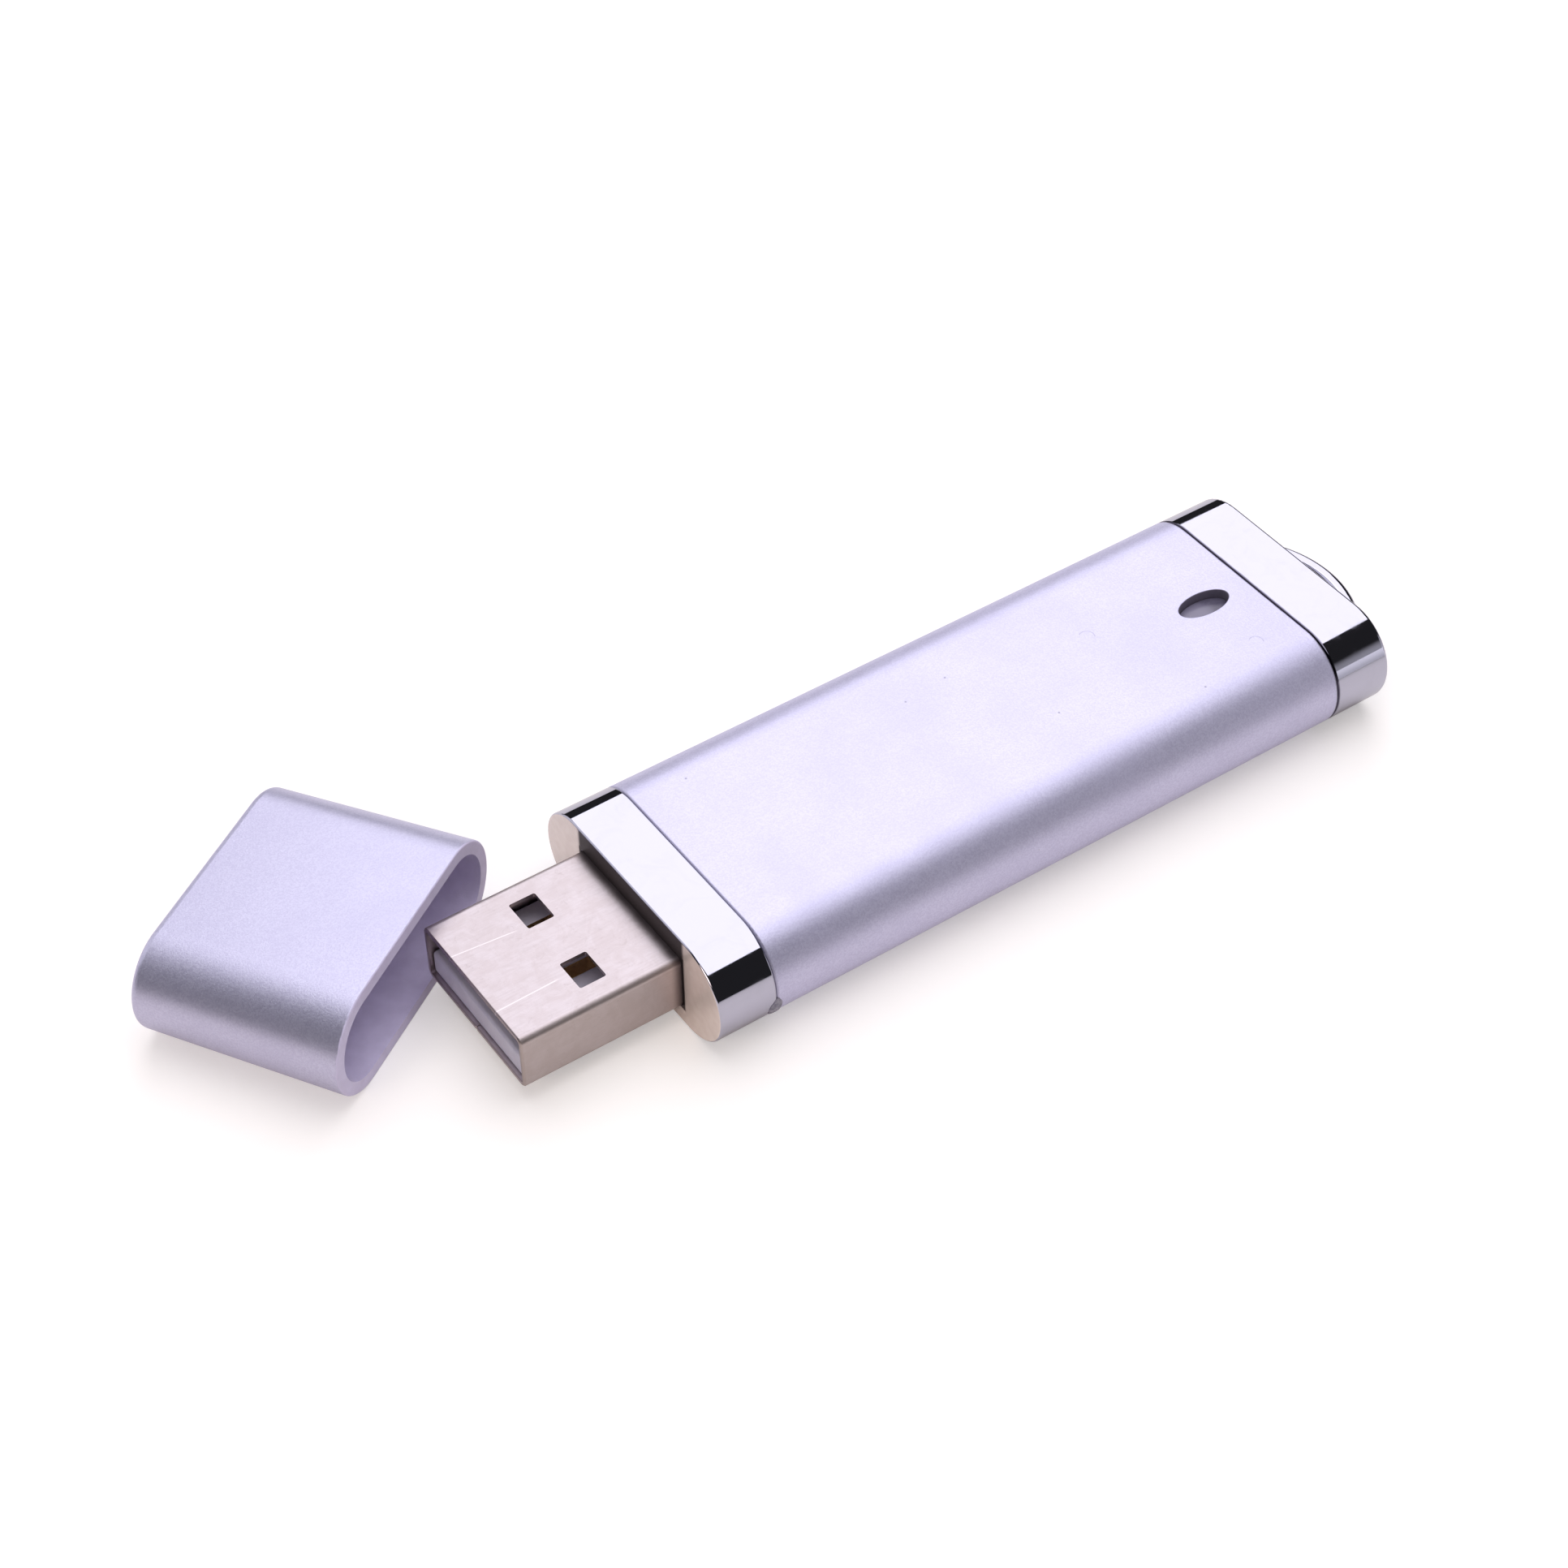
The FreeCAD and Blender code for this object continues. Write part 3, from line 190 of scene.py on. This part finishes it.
class Finish:
    """Builds a material's nodes.  The methods add nodes and give the output socket of the last.

    Patterns are measured on the model itself, in the object's own coordinates, and in millimetres."""

    def __init__(self, name):
        self.material = bpy.data.materials.new(name)
        self.material.use_nodes = True
        self.tree = self.material.node_tree
        self.shader = self.tree.nodes["Principled BSDF"]
        self.place = self.node("ShaderNodeTexCoord").outputs["Object"]

    def node(self, kind, sockets=(), **settings):
        node = self.tree.nodes.new(kind)
        for key, setting in settings.items():
            setattr(node, key, setting)
        for key, content in dict(sockets).items():
            if isinstance(content, bpy.types.NodeSocket):
                self.tree.links.new(content, node.inputs[key])
            else:
                node.inputs[key].default_value = content
        return node

    def math(self, operation, a, b=0.0):
        return self.node("ShaderNodeMath", {0: a, 1: b}, operation=operation).outputs[0]

    def product(self, first, *others):
        for other in others:
            first = self.math("MULTIPLY", first, other)
        return first

    def level(self, content, low, high, to_low=0.0, to_high=1.0):
        """Maps low..high smoothly to to_low..to_high."""
        sockets = {"Value": content, "From Min": low, "From Max": high, "To Min": to_low, "To Max": to_high}
        return self.node("ShaderNodeMapRange", sockets, interpolation_type="SMOOTHSTEP").outputs["Result"]

    def along_x(self, scale):
        """The place with its X scaled, which draws a pattern out along X when the scale is below 1."""
        sockets = {"Vector": self.place, "Scale": (scale, 1.0, 1.0)}
        return self.node("ShaderNodeMapping", sockets).outputs["Vector"]

    def noise(self, size, detail=2.0, roughness=0.5, distortion=0.0, place=None):
        sockets = {"Vector": place or self.place, "Scale": 1 / (size * MM), "Detail": detail,
                   "Roughness": roughness, "Distortion": distortion}
        return self.node("ShaderNodeTexNoise", sockets).outputs["Fac"]

    def cells(self, size):
        """Scattered cells: how far the place is from its cell's point, and a random number for the cell."""
        node = self.node("ShaderNodeTexVoronoi", {"Vector": self.place, "Scale": 1 / (size * MM)})
        chance = self.node("ShaderNodeSeparateColor", {"Color": node.outputs["Color"]}).outputs["Red"]
        return node.outputs["Distance"], chance

    def axes(self):
        """The place's X, Y and Z in millimetres."""
        parts = self.node("ShaderNodeSeparateXYZ", {"Vector": self.place}).outputs
        return [self.math("MULTIPLY", part, 1 / MM) for part in parts]

    def squared(self, a, b):
        """The square of the length of a flat vector (a, b)."""
        return self.math("ADD", self.product(a, a), self.product(b, b))

    def length(self, a, b):
        return self.math("SQRT", self.squared(a, b))

    def off(self, content, middle):
        """How far the content is from the middle value."""
        return self.math("ABSOLUTE", self.math("SUBTRACT", content, middle))

    def union(self, *masks):
        first, *others = masks
        for other in others:
            first = self.math("MAXIMUM", first, other)
        return first

    def mix(self, share, a, b):
        """Mixes two colours, each a socket or three numbers."""
        a, b = (colour if isinstance(colour, bpy.types.NodeSocket) else (*colour, 1.0) for colour in (a, b))
        mixed = self.node("ShaderNodeMix", {FACTOR: share, A_COLOUR: a, B_COLOUR: b}, data_type="RGBA")
        return mixed.outputs[MIXED_COLOUR]

    def blend(self, share, a, b):
        """Mixes two numbers or number sockets."""
        mixed = self.node("ShaderNodeMix", {FACTOR: share, A_NUMBER: a, B_NUMBER: b}, data_type="FLOAT")
        return mixed.outputs[MIXED_NUMBER]

    def bump(self, height, depth, normal=None):
        """Relief whose full height is depth, in millimetres."""
        sockets = {"Height": height, "Distance": depth * MM, "Strength": 1.0}
        if normal:
            sockets["Normal"] = normal
        return self.node("ShaderNodeBump", sockets).outputs["Normal"]

    def specks(self, spacing, radius, share):
        """1 on small round specks scattered on the surface, in the given share of cells."""
        distance, chance = self.cells(spacing)
        chosen = self.math("LESS_THAN", chance, share)
        return self.product(self.level(distance, radius / spacing, 0.6 * radius / spacing), chosen)

    def seam_dirt_and_shade(self, colour, seams):
        """Darkens a colour along seams round the drive, each given by its X, half width and strength: dirt,
        and painted shade of the gap between the parts.
        """
        x = self.axes()[0]
        for place, half_width, strength in seams:
            ragged = self.level(self.noise(1.5), 0.3, 0.7, 0.9 * half_width, 1.1 * half_width)
            dark = self.level(self.math("DIVIDE", self.off(x, place), ragged), 1.3, 0.3, 0.0, strength)
            colour = self.mix(dark, colour, (0.055, 0.045, 0.08))
        return colour

    def settle(self, colour, roughness, normal, metallic=0.0, **others):
        """Sets the shader's sockets.  A plain number stays on the socket itself."""
        sockets = {"Base Color": colour, "Roughness": roughness, "Normal": normal, "Metallic": metallic}
        sockets.update({key.replace("_", " "): content for key, content in others.items()})
        for key, content in sockets.items():
            if isinstance(content, bpy.types.NodeSocket):
                self.tree.links.new(content, self.shader.inputs[key])
            else:
                self.shader.inputs[key].default_value = content
        return self.material


PAINT_SILVER, PAINT_SHADE = (0.79, 0.77, 0.98), (0.69, 0.665, 0.885)
CAP_PLASTIC = (0.80, 0.735, 0.97), (0.73, 0.665, 0.89)
# The light hole's wall: bare plastic made dark, partly painted shade of the deep hole.
HOLE_PLASTIC_AND_SHADE = (0.20, 0.175, 0.235), (0.15, 0.13, 0.18)

# From here to the rub marks, sizes and places are in millimetres.  The oval light hole's length and width:
HOLE_LENGTH, HOLE_WIDTH = 4.15, 2.1

# The seams at the sleeve's ends: the X, half width and strength of the dirt and painted shade in each.
SLEEVE_FRONT, SLEEVE_BACK = (corner.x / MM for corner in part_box("main_sleeve"))
SEAMS = ((SLEEVE_FRONT, 0.15, 0.25), (SLEEVE_BACK, 0.17, 0.95))

# Marks on the sleeve's top: the middle and radius of each curved hair, and the middle of each speck.
HAIRS = ((47.8, -5.4, 0.5), (38.6, 1.7, 0.55))
SPECKS = ((8.3, 6.0), (24.5, 3.6), (28.1, 4.0), (32.3, -3.2), (42.0, -6.9))

# The cap at rest: the middle of its mouth, the way it points in degrees from +X, half its width and height at
# the mouth, the draft of its sides in degrees, and how far in its cavity goes.
CAP_MOUTH, CAP_TURN = Vector((-13.27, 4.93)), 122.6
CAP_HALF_WIDTH, CAP_HALF_HEIGHT, CAP_DRAFT, CAVITY_DEPTH = 10.3, 4.025, 1.0, 14.2

# Rub marks along the plug's top: Y at the tip, slope, and half width.
RUB_MARKS = ((2.62, -0.098, 0.04), (-2.98, 0.02, 0.045))


def paint(name, tone, gloss, bare, marks=None, seams=()):
    """Satin silver paint with fine flake, as light as its tone and with the two roughnesses of its gloss.

    bare(finish) gives where the plastic under it shows and that plastic's two colours, marks(finish) where
    the paint is marked, and the seams are darkened with dirt and painted shade of their gap."""
    f = Finish(name)
    silver, shade = ([tone * part for part in colour] for colour in (PAINT_SILVER, PAINT_SHADE))
    _, flake = f.cells(0.10)
    grain = f.noise(0.13, detail=1.0)
    drift = f.noise(5.0, detail=3.0, roughness=0.6)
    colour = f.mix(f.level(f.blend(0.5, flake, grain), 0.2, 0.8), shade, silver)
    colour = f.mix(f.level(drift, 0.35, 0.75, 0.0, 0.25), colour, shade)
    roughness = f.level(f.blend(0.35, drift, flake), 0.25, 0.75, *gloss)
    relief = f.bump(grain, 0.007, f.bump(flake, 0.0022))
    dust = f.specks(3.1, 0.055, 0.16)
    colour = f.mix(f.product(dust, 0.55), colour, (0.30, 0.28, 0.33))
    if marks:
        mark = marks(f)
        colour = f.mix(f.product(mark, 0.6), colour, (0.30, 0.28, 0.34))
        roughness = f.blend(mark, roughness, 0.55)
    shown, light, dark = bare(f)
    mottle = f.noise(1.2, detail=3.0)
    plastic = f.mix(f.level(mottle, 0.3, 0.7), dark, light)
    plastic = f.mix(f.product(f.specks(1.6, 0.05, 0.12), 0.4), plastic, (0.80, 0.78, 0.84))
    colour = f.mix(shown, colour, plastic)
    roughness = f.blend(shown, roughness, f.level(mottle, 0.3, 0.7, 0.46, 0.58))
    metallic = f.blend(shown, 0.68, 0.0)
    relief = f.bump(f.noise(0.25, detail=3.0), 0.004, relief)
    # The seams are darkened with dirt and painted shade of their gap.
    return f.settle(f.seam_dirt_and_shade(colour, seams), roughness, relief, metallic)


def light_hole(f):
    """The wall of the oval light hole, where the sleeve is bare plastic, coloured dark: bare plastic with
    painted shade of the deep hole.
    """
    low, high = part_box("led_lens")
    middle = (low + high) / (2 * MM)
    margin = 0.03
    x, y, _ = f.axes()
    across_x = f.math("DIVIDE", f.math("SUBTRACT", x, middle.x), HOLE_LENGTH / 2 + margin)
    across_y = f.math("DIVIDE", f.math("SUBTRACT", y, middle.y), HOLE_WIDTH / 2 + margin)
    return f.level(f.squared(across_x, across_y), 1.05, 0.98), *HOLE_PLASTIC_AND_SHADE


def scuffs(f):
    """1 on two short curved hair marks and a few specks on the sleeve's top."""
    x, y, z = f.axes()
    marks = []
    for middle_x, middle_y, radius in HAIRS:
        dx, dy = f.math("SUBTRACT", x, middle_x), f.math("SUBTRACT", y, middle_y)
        ring = f.level(f.off(f.length(dx, dy), radius), 0.05, 0.02)
        marks.append(f.product(ring, f.level(f.math("ADD", dx, dy), 0.0, 0.2), 0.6))
    for middle_x, middle_y in SPECKS:
        dx, dy = f.math("SUBTRACT", x, middle_x), f.math("SUBTRACT", y, middle_y)
        marks.append(f.level(f.length(dx, dy), 0.11, 0.05))
    return f.product(f.union(*marks), f.level(z, 7.4, 7.6))


def cap_frame(f):
    """The place in the cap's own frame: along it from its mouth, across it, and up."""
    along, across = direction(CAP_TURN, 0), direction(CAP_TURN + 90, 0)
    x, y, up = f.axes()
    from_mouth_x, from_mouth_y = f.math("SUBTRACT", x, CAP_MOUTH.x), f.math("SUBTRACT", y, CAP_MOUTH.y)

    def reach(axis):
        return f.math("ADD", f.product(from_mouth_x, axis.x), f.product(from_mouth_y, axis.y))

    return reach(along), reach(across), up


def cap_bare(f):
    """The cap's rim and its inside, where the plastic isn't painted."""
    along, across, up = cap_frame(f)
    taper = math.tan(math.radians(CAP_DRAFT))
    radius = f.math("SUBTRACT", CAP_HALF_HEIGHT, f.product(along, taper))
    flat = f.math("SUBTRACT", f.math("ABSOLUTE", across), CAP_HALF_WIDTH - CAP_HALF_HEIGHT)
    side, rise = f.math("MAXIMUM", flat, 0.0), f.math("SUBTRACT", up, radius)
    depth = f.math("SUBTRACT", radius, f.length(side, rise))
    inside = f.product(f.level(depth, 0.45, 0.6), f.math("LESS_THAN", along, CAVITY_DEPTH))
    ragged = f.math("ADD", along, f.level(f.noise(0.5), 0.3, 0.7, -0.03, 0.03))
    rim = f.level(ragged, 0.10, 0.05)
    return f.union(inside, rim), *CAP_PLASTIC


def chrome():
    """Bright chrome plating with a slight swim in its reflections, smudges, wipe marks and dust.

    The collar's front face, at X = 0, is duller than the rest and painted warm, a painted reflection of the
    warm-lit table; above the plug and in the joint round it, it is painted dark, painted shade with some
    dirt."""
    f = Finish("chrome")
    smudge = f.noise(2.6, detail=5.0, roughness=0.65, distortion=1.2)
    wipe = f.noise(0.35, detail=2.0, place=f.along_x(0.12))
    dust = f.specks(1.9, 0.035, 0.20)
    colour = f.mix(f.level(smudge, 0.45, 0.75, 0.0, 0.35), (0.580, 0.572, 0.680), (0.520, 0.512, 0.605))
    colour = f.mix(f.product(dust, 0.6), colour, (0.80, 0.79, 0.82))
    roughness = f.math("ADD", f.level(smudge, 0.40, 0.78, 0.035, 0.11), f.level(wipe, 0.55, 0.80, 0.0, 0.035))
    roughness = f.blend(dust, roughness, 0.5)
    x, y, z = f.axes()
    front = f.level(x, 0.03, 0.005)
    plug_low, plug_high = (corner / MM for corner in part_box("usb_shell"))
    beside = f.math("SUBTRACT", f.math("ABSOLUTE", y), plug_high.y)
    above = f.math("SUBTRACT", f.off(z, (plug_low.z + plug_high.z) / 2), (plug_high.z - plug_low.z) / 2)
    joint = f.level(f.union(beside, above), 0.26, 0.14)
    mottle = f.level(f.noise(0.8, detail=4.0), 0.3, 0.7)
    # The front face's warm colour is a painted reflection of the warm-lit table.
    face = f.mix(mottle, (0.86, 0.75, 0.70), (0.93, 0.82, 0.77))
    # Painted shade, with some dirt, above the plug and in the joint round it.
    above_plug = f.product(f.level(f.math("ABSOLUTE", y), 6.35, 5.95), f.level(z, 5.6, 6.0))
    shade_and_dirt = f.union(above_plug, joint)
    face = f.mix(f.product(shade_and_dirt, 0.93), face, (0.05, 0.04, 0.045))
    colour = f.mix(front, colour, face)
    roughness = f.blend(front, roughness, f.level(shade_and_dirt, 0.0, 1.0, 0.24, 0.5))
    swim = f.bump(f.noise(6.0, detail=1.0), 0.010)
    relief = f.bump(f.noise(0.9, detail=2.0), 0.0007, swim)
    metallic = f.blend(front, 1.0, f.level(shade_and_dirt, 0.0, 1.0, 0.55, 1.0))
    # The seams are darkened with dirt and painted shade of their gap.
    return f.settle(f.seam_dirt_and_shade(colour, SEAMS), roughness, relief, metallic)


def nickel():
    """The plug's rolled nickel-plated sheet: warm satin grey with grain along it, stains and rub marks."""
    f = Finish("nickel_sheet")
    x, y, z = f.axes()
    low, high = (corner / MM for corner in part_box("usb_shell"))
    grain = f.noise(0.12, detail=3.0, place=f.along_x(0.06))
    cloud = f.noise(1.3, detail=5.0, roughness=0.7, distortion=0.5)
    stain = f.level(f.noise(0.8, detail=4.0, roughness=0.7, distortion=1.5), 0.56, 0.74)
    colour = f.mix(f.level(cloud, 0.35, 0.7), (0.570, 0.502, 0.518), (0.675, 0.608, 0.636))
    colour = f.mix(f.product(f.level(grain, 0.35, 0.7), 0.12), colour, (0.48, 0.42, 0.41))
    colour = f.mix(f.product(stain, 0.30), colour, (0.36, 0.30, 0.29))
    edge_top = f.level(z, high.z - 0.42, high.z - 0.06)
    edge_side = f.level(f.math("ABSOLUTE", y), high.y - 0.5, high.y - 0.12)
    bend = f.product(edge_top, edge_side)
    tip = f.level(x, low.x + 0.16, low.x + 0.04)
    tarnish = f.union(f.product(bend, 0.3), tip)
    colour = f.mix(f.product(tarnish, 0.4), colour, (0.30, 0.215, 0.19))
    # The sides are painted warmer and darker: painted warm shade from the table's light.
    colour = f.mix(f.product(edge_side, 0.45), colour, (0.50, 0.42, 0.375))
    # Painted shade on the plug's top in a strip next to the collar.
    shade_by_collar = f.level(x, -0.9, -0.12, 0.0, 0.92)
    colour = f.mix(shade_by_collar, colour, (0.10, 0.08, 0.085))
    rubbed = []
    for tip_y, slope, half_width in RUB_MARKS:
        middle = f.math("ADD", f.product(f.math("SUBTRACT", x, low.x), slope), tip_y)
        line = f.level(f.off(y, middle), 1.6 * half_width, 0.4 * half_width)
        rubbed.append(f.product(line, f.level(x, -7.0, -7.6), f.level(z, 5.0, 5.5)))
    colour = f.mix(f.product(f.union(*rubbed), 0.7), colour, (0.86, 0.80, 0.81))
    pits = f.specks(0.9, 0.04, 0.16)
    colour = f.mix(f.product(pits, 0.6), colour, (0.22, 0.18, 0.18))
    roughness = f.math("ADD", f.level(cloud, 0.3, 0.75, 0.32, 0.41), f.level(grain, 0.4, 0.8, 0.0, 0.06))
    roughness = f.blend(bend, roughness, 0.62)
    relief = f.bump(grain, 0.0018, f.bump(f.noise(3.5, detail=2.0), 0.006))
    return f.settle(colour, roughness, relief, metallic=1.0)


def moulded(name, colour, shade, roughness, grain=0.2, depth=0.004):
    """Moulded plastic: fine spark-eroded grain, slight mottling and a little dust."""
    f = Finish(name)
    mottle = f.noise(1.5, detail=4.0, roughness=0.6)
    tone = f.mix(f.level(mottle, 0.3, 0.7), shade, colour)
    tone = f.mix(f.product(f.specks(1.3, 0.04, 0.15), 0.3), tone, (0.75, 0.74, 0.76))
    relief = f.bump(f.noise(grain, detail=3.0), depth)
    return f.settle(tone, f.level(mottle, 0.3, 0.7, *roughness), relief)


def metal(name, colour, shade, roughness):
    """Small plated or tinned metal parts: mottled tone, soft scratches and uneven gloss."""
    f = Finish(name)
    mottle = f.noise(0.7, detail=4.0, roughness=0.65)
    scratch = f.noise(0.15, detail=2.0, place=f.along_x(0.1))
    tone = f.mix(f.level(mottle, 0.3, 0.7), shade, colour)
    rough = f.math("ADD", f.level(mottle, 0.3, 0.7, *roughness), f.level(scratch, 0.5, 0.8, 0.0, 0.08))
    return f.settle(tone, rough, f.bump(scratch, 0.0015, f.bump(mottle, 0.004)), metallic=1.0)


def smoked_lens():
    """The dark smoked lens of the status light, faintly cloudy, with a paler spot and a little dust."""
    f = Finish("smoked_lens")
    low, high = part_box("led_lens")
    middle = (low + high) / (2 * MM)
    x, y, _ = f.axes()
    spot_x, spot_y = middle.x - 0.7, middle.y - 0.1
    from_spot = f.squared(f.math("SUBTRACT", x, spot_x), f.math("SUBTRACT", y, spot_y))
    spot = f.level(from_spot, 3.2, 0.2)
    cloud = f.noise(0.9, detail=4.0, distortion=0.6)
    tone = f.mix(f.level(cloud, 0.3, 0.7), (0.109, 0.098, 0.150), (0.147, 0.133, 0.197))
    tone = f.mix(f.product(spot, 0.55), tone, (0.37, 0.345, 0.475))
    tone = f.mix(f.product(f.specks(0.7, 0.03, 0.2), 0.5), tone, (0.42, 0.40, 0.46))
    roughness = f.level(cloud, 0.3, 0.7, 0.16, 0.30)
    return f.settle(tone, roughness, f.bump(f.noise(1.1), 0.006))


def board_green():
    """Solder mask over a woven board, with copper lines faintly raised under it."""
    f = Finish("solder_mask")
    weave = f.node("ShaderNodeTexWave", {"Vector": f.place, "Scale": 1 / (1.6 * MM), "Distortion": 0.6})
    lines = f.level(weave.outputs["Fac"], 0.55, 0.7)
    mottle = f.noise(1.4, detail=4.0)
    tone = f.mix(f.level(mottle, 0.3, 0.7), (0.016, 0.085, 0.035), (0.03, 0.14, 0.06))
    tone = f.mix(f.product(lines, 0.5), tone, (0.07, 0.24, 0.10))
    return f.settle(tone, f.level(mottle, 0.3, 0.7, 0.22, 0.38), f.bump(lines, 0.02))


def table():
    """A plain white table top with a very fine grain.

    It glows a little, to the camera only.  The glow grows away from the drive, up to the backdrop's."""
    f = Finish("white_table")
    mottle = f.noise(14.0, detail=4.0)
    tone = f.mix(f.level(mottle, 0.3, 0.7), (0.775, 0.752, 0.732), (0.79, 0.767, 0.747))
    x, y, _ = f.axes()
    away = f.length(x, y)
    glow = f.product(f.node("ShaderNodeLightPath").outputs["Is Camera Ray"],
                     f.level(away, GLOW_START, GLOW_END, TABLE_GLOW, BACKDROP_RADIANCE))
    return f.settle(tone, f.level(mottle, 0.3, 0.7, 0.62, 0.72), f.bump(f.noise(0.6, detail=2.0), 0.01),
                    Emission_Color=(1.0, 1.0, 1.0, 1.0), Emission_Strength=glow)


def dried_glue():
    """Clear glue gone slightly grey, glossy with a wrinkled skin."""
    f = Finish("dried_glue")
    mottle = f.noise(0.3, detail=3.0)
    tone = f.mix(f.level(mottle, 0.3, 0.7), (0.20, 0.18, 0.24), (0.32, 0.30, 0.37))
    return f.settle(tone, f.level(mottle, 0.3, 0.7, 0.12, 0.3), f.bump(mottle, 0.02))


def dress_nodes():
    """Gives each CAD node its finish."""
    chrome_plate, solder = chrome(), metal("tin_solder", (0.66, 0.66, 0.68), (0.52, 0.52, 0.54), (0.22, 0.38))
    gold = metal("gold_plating", (0.88, 0.62, 0.27), (0.74, 0.48, 0.19), (0.14, 0.26))
    epoxy = moulded("chip_epoxy", (0.030, 0.030, 0.033), (0.018, 0.018, 0.020), (0.45, 0.62), 0.12, 0.006)
    finishes = {
        "main_sleeve": paint("sleeve_paint", 1.0, (0.41, 0.49), light_hole, scuffs, SEAMS),
        "cap": paint("cap_paint", 0.925, (0.34, 0.41), cap_bare),
        "front_collar": chrome_plate,
        "tail_cap": chrome_plate,
        "led_lens": smoked_lens(),
        "usb_shell": nickel(),
        "plug_insulator": moulded("insulator", (0.76, 0.72, 0.82), (0.68, 0.64, 0.75), (0.35, 0.5)),
        "circuit_board": board_green(),
        "crystal": metal("crystal_can", (0.70, 0.69, 0.68), (0.60, 0.59, 0.58), (0.2, 0.32)),
        "status_led": moulded("led_body", (0.80, 0.80, 0.70), (0.70, 0.70, 0.60), (0.2, 0.3)),
        "capacitors": moulded("capacitor_ceramic", (0.42, 0.29, 0.18), (0.33, 0.22, 0.13), (0.4, 0.55)),
        "resistors": moulded("resistor_glaze", (0.035, 0.035, 0.04), (0.02, 0.02, 0.024), (0.25, 0.4)),
    }
    finishes.update(dict.fromkeys(("flash_memory", "controller", "regulator"), epoxy))
    finishes.update(dict.fromkeys(("contact_power", "contact_data_minus", "contact_data_plus",
                                   "contact_ground"), gold))
    finishes.update(dict.fromkeys(("flash_leads", "controller_leads", "regulator_leads", "chip_terminals",
                                   "solder_joints"), solder))
    for name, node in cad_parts.items():
        for slot in node.material_slots:
            slot.material = finishes[name]


# ---------------------------------------------------------------------------------------------------------
# Pieces
# ---------------------------------------------------------------------------------------------------------

def add_glue_bead():
    """A small bead of glue squeezed out of the seam between collar and sleeve, low on the near side."""
    low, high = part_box("front_collar")
    seam_x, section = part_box("main_sleeve")[0].x, (high.z - low.z) / 2
    axis = Vector((seam_x, low.y + section, section))
    middle, spread, half_width, rise = math.radians(108), math.radians(15), 0.50 * MM, 0.17 * MM
    shape = bmesh.new()
    bmesh.ops.create_icosphere(shape, subdivisions=4, radius=1.0)
    for vertex in shape.verts:
        s, t, k = vertex.co
        lump = 1 + 0.10 * math.sin(5 * s + 2 * t) * math.cos(3 * t - s)
        angle = middle + t * spread * (1 + 0.12 * s)
        radius = section + k * rise * lump
        vertex.co = axis + Vector((s * half_width * lump * (1 + 0.35 * t),
                                   -min(radius * math.sin(angle), section), radius * math.cos(angle)))
    data = bpy.data.meshes.new("seam_glue_bead")
    shape.to_mesh(data)
    shape.free()
    for face in data.polygons:
        face.use_smooth = True
    bead = add_object("seam_glue_bead", data)
    data.materials.append(dried_glue())
    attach(bead, "drive")


def add_table():
    """The white table, a disc that ends far outside every view."""
    radius, segments = 1.6, 96
    shape = bmesh.new()
    bmesh.ops.create_circle(shape, cap_ends=True, segments=segments, radius=radius)
    data = bpy.data.meshes.new("table")
    shape.to_mesh(data)
    shape.free()
    data.materials.append(table())
    top = add_object("table", data)
    return top


bpy.context.scene.view_settings.view_transform = "Standard"
add_camera()
add_lights(add_table())
add_world()
dress_nodes()
add_glue_bead()
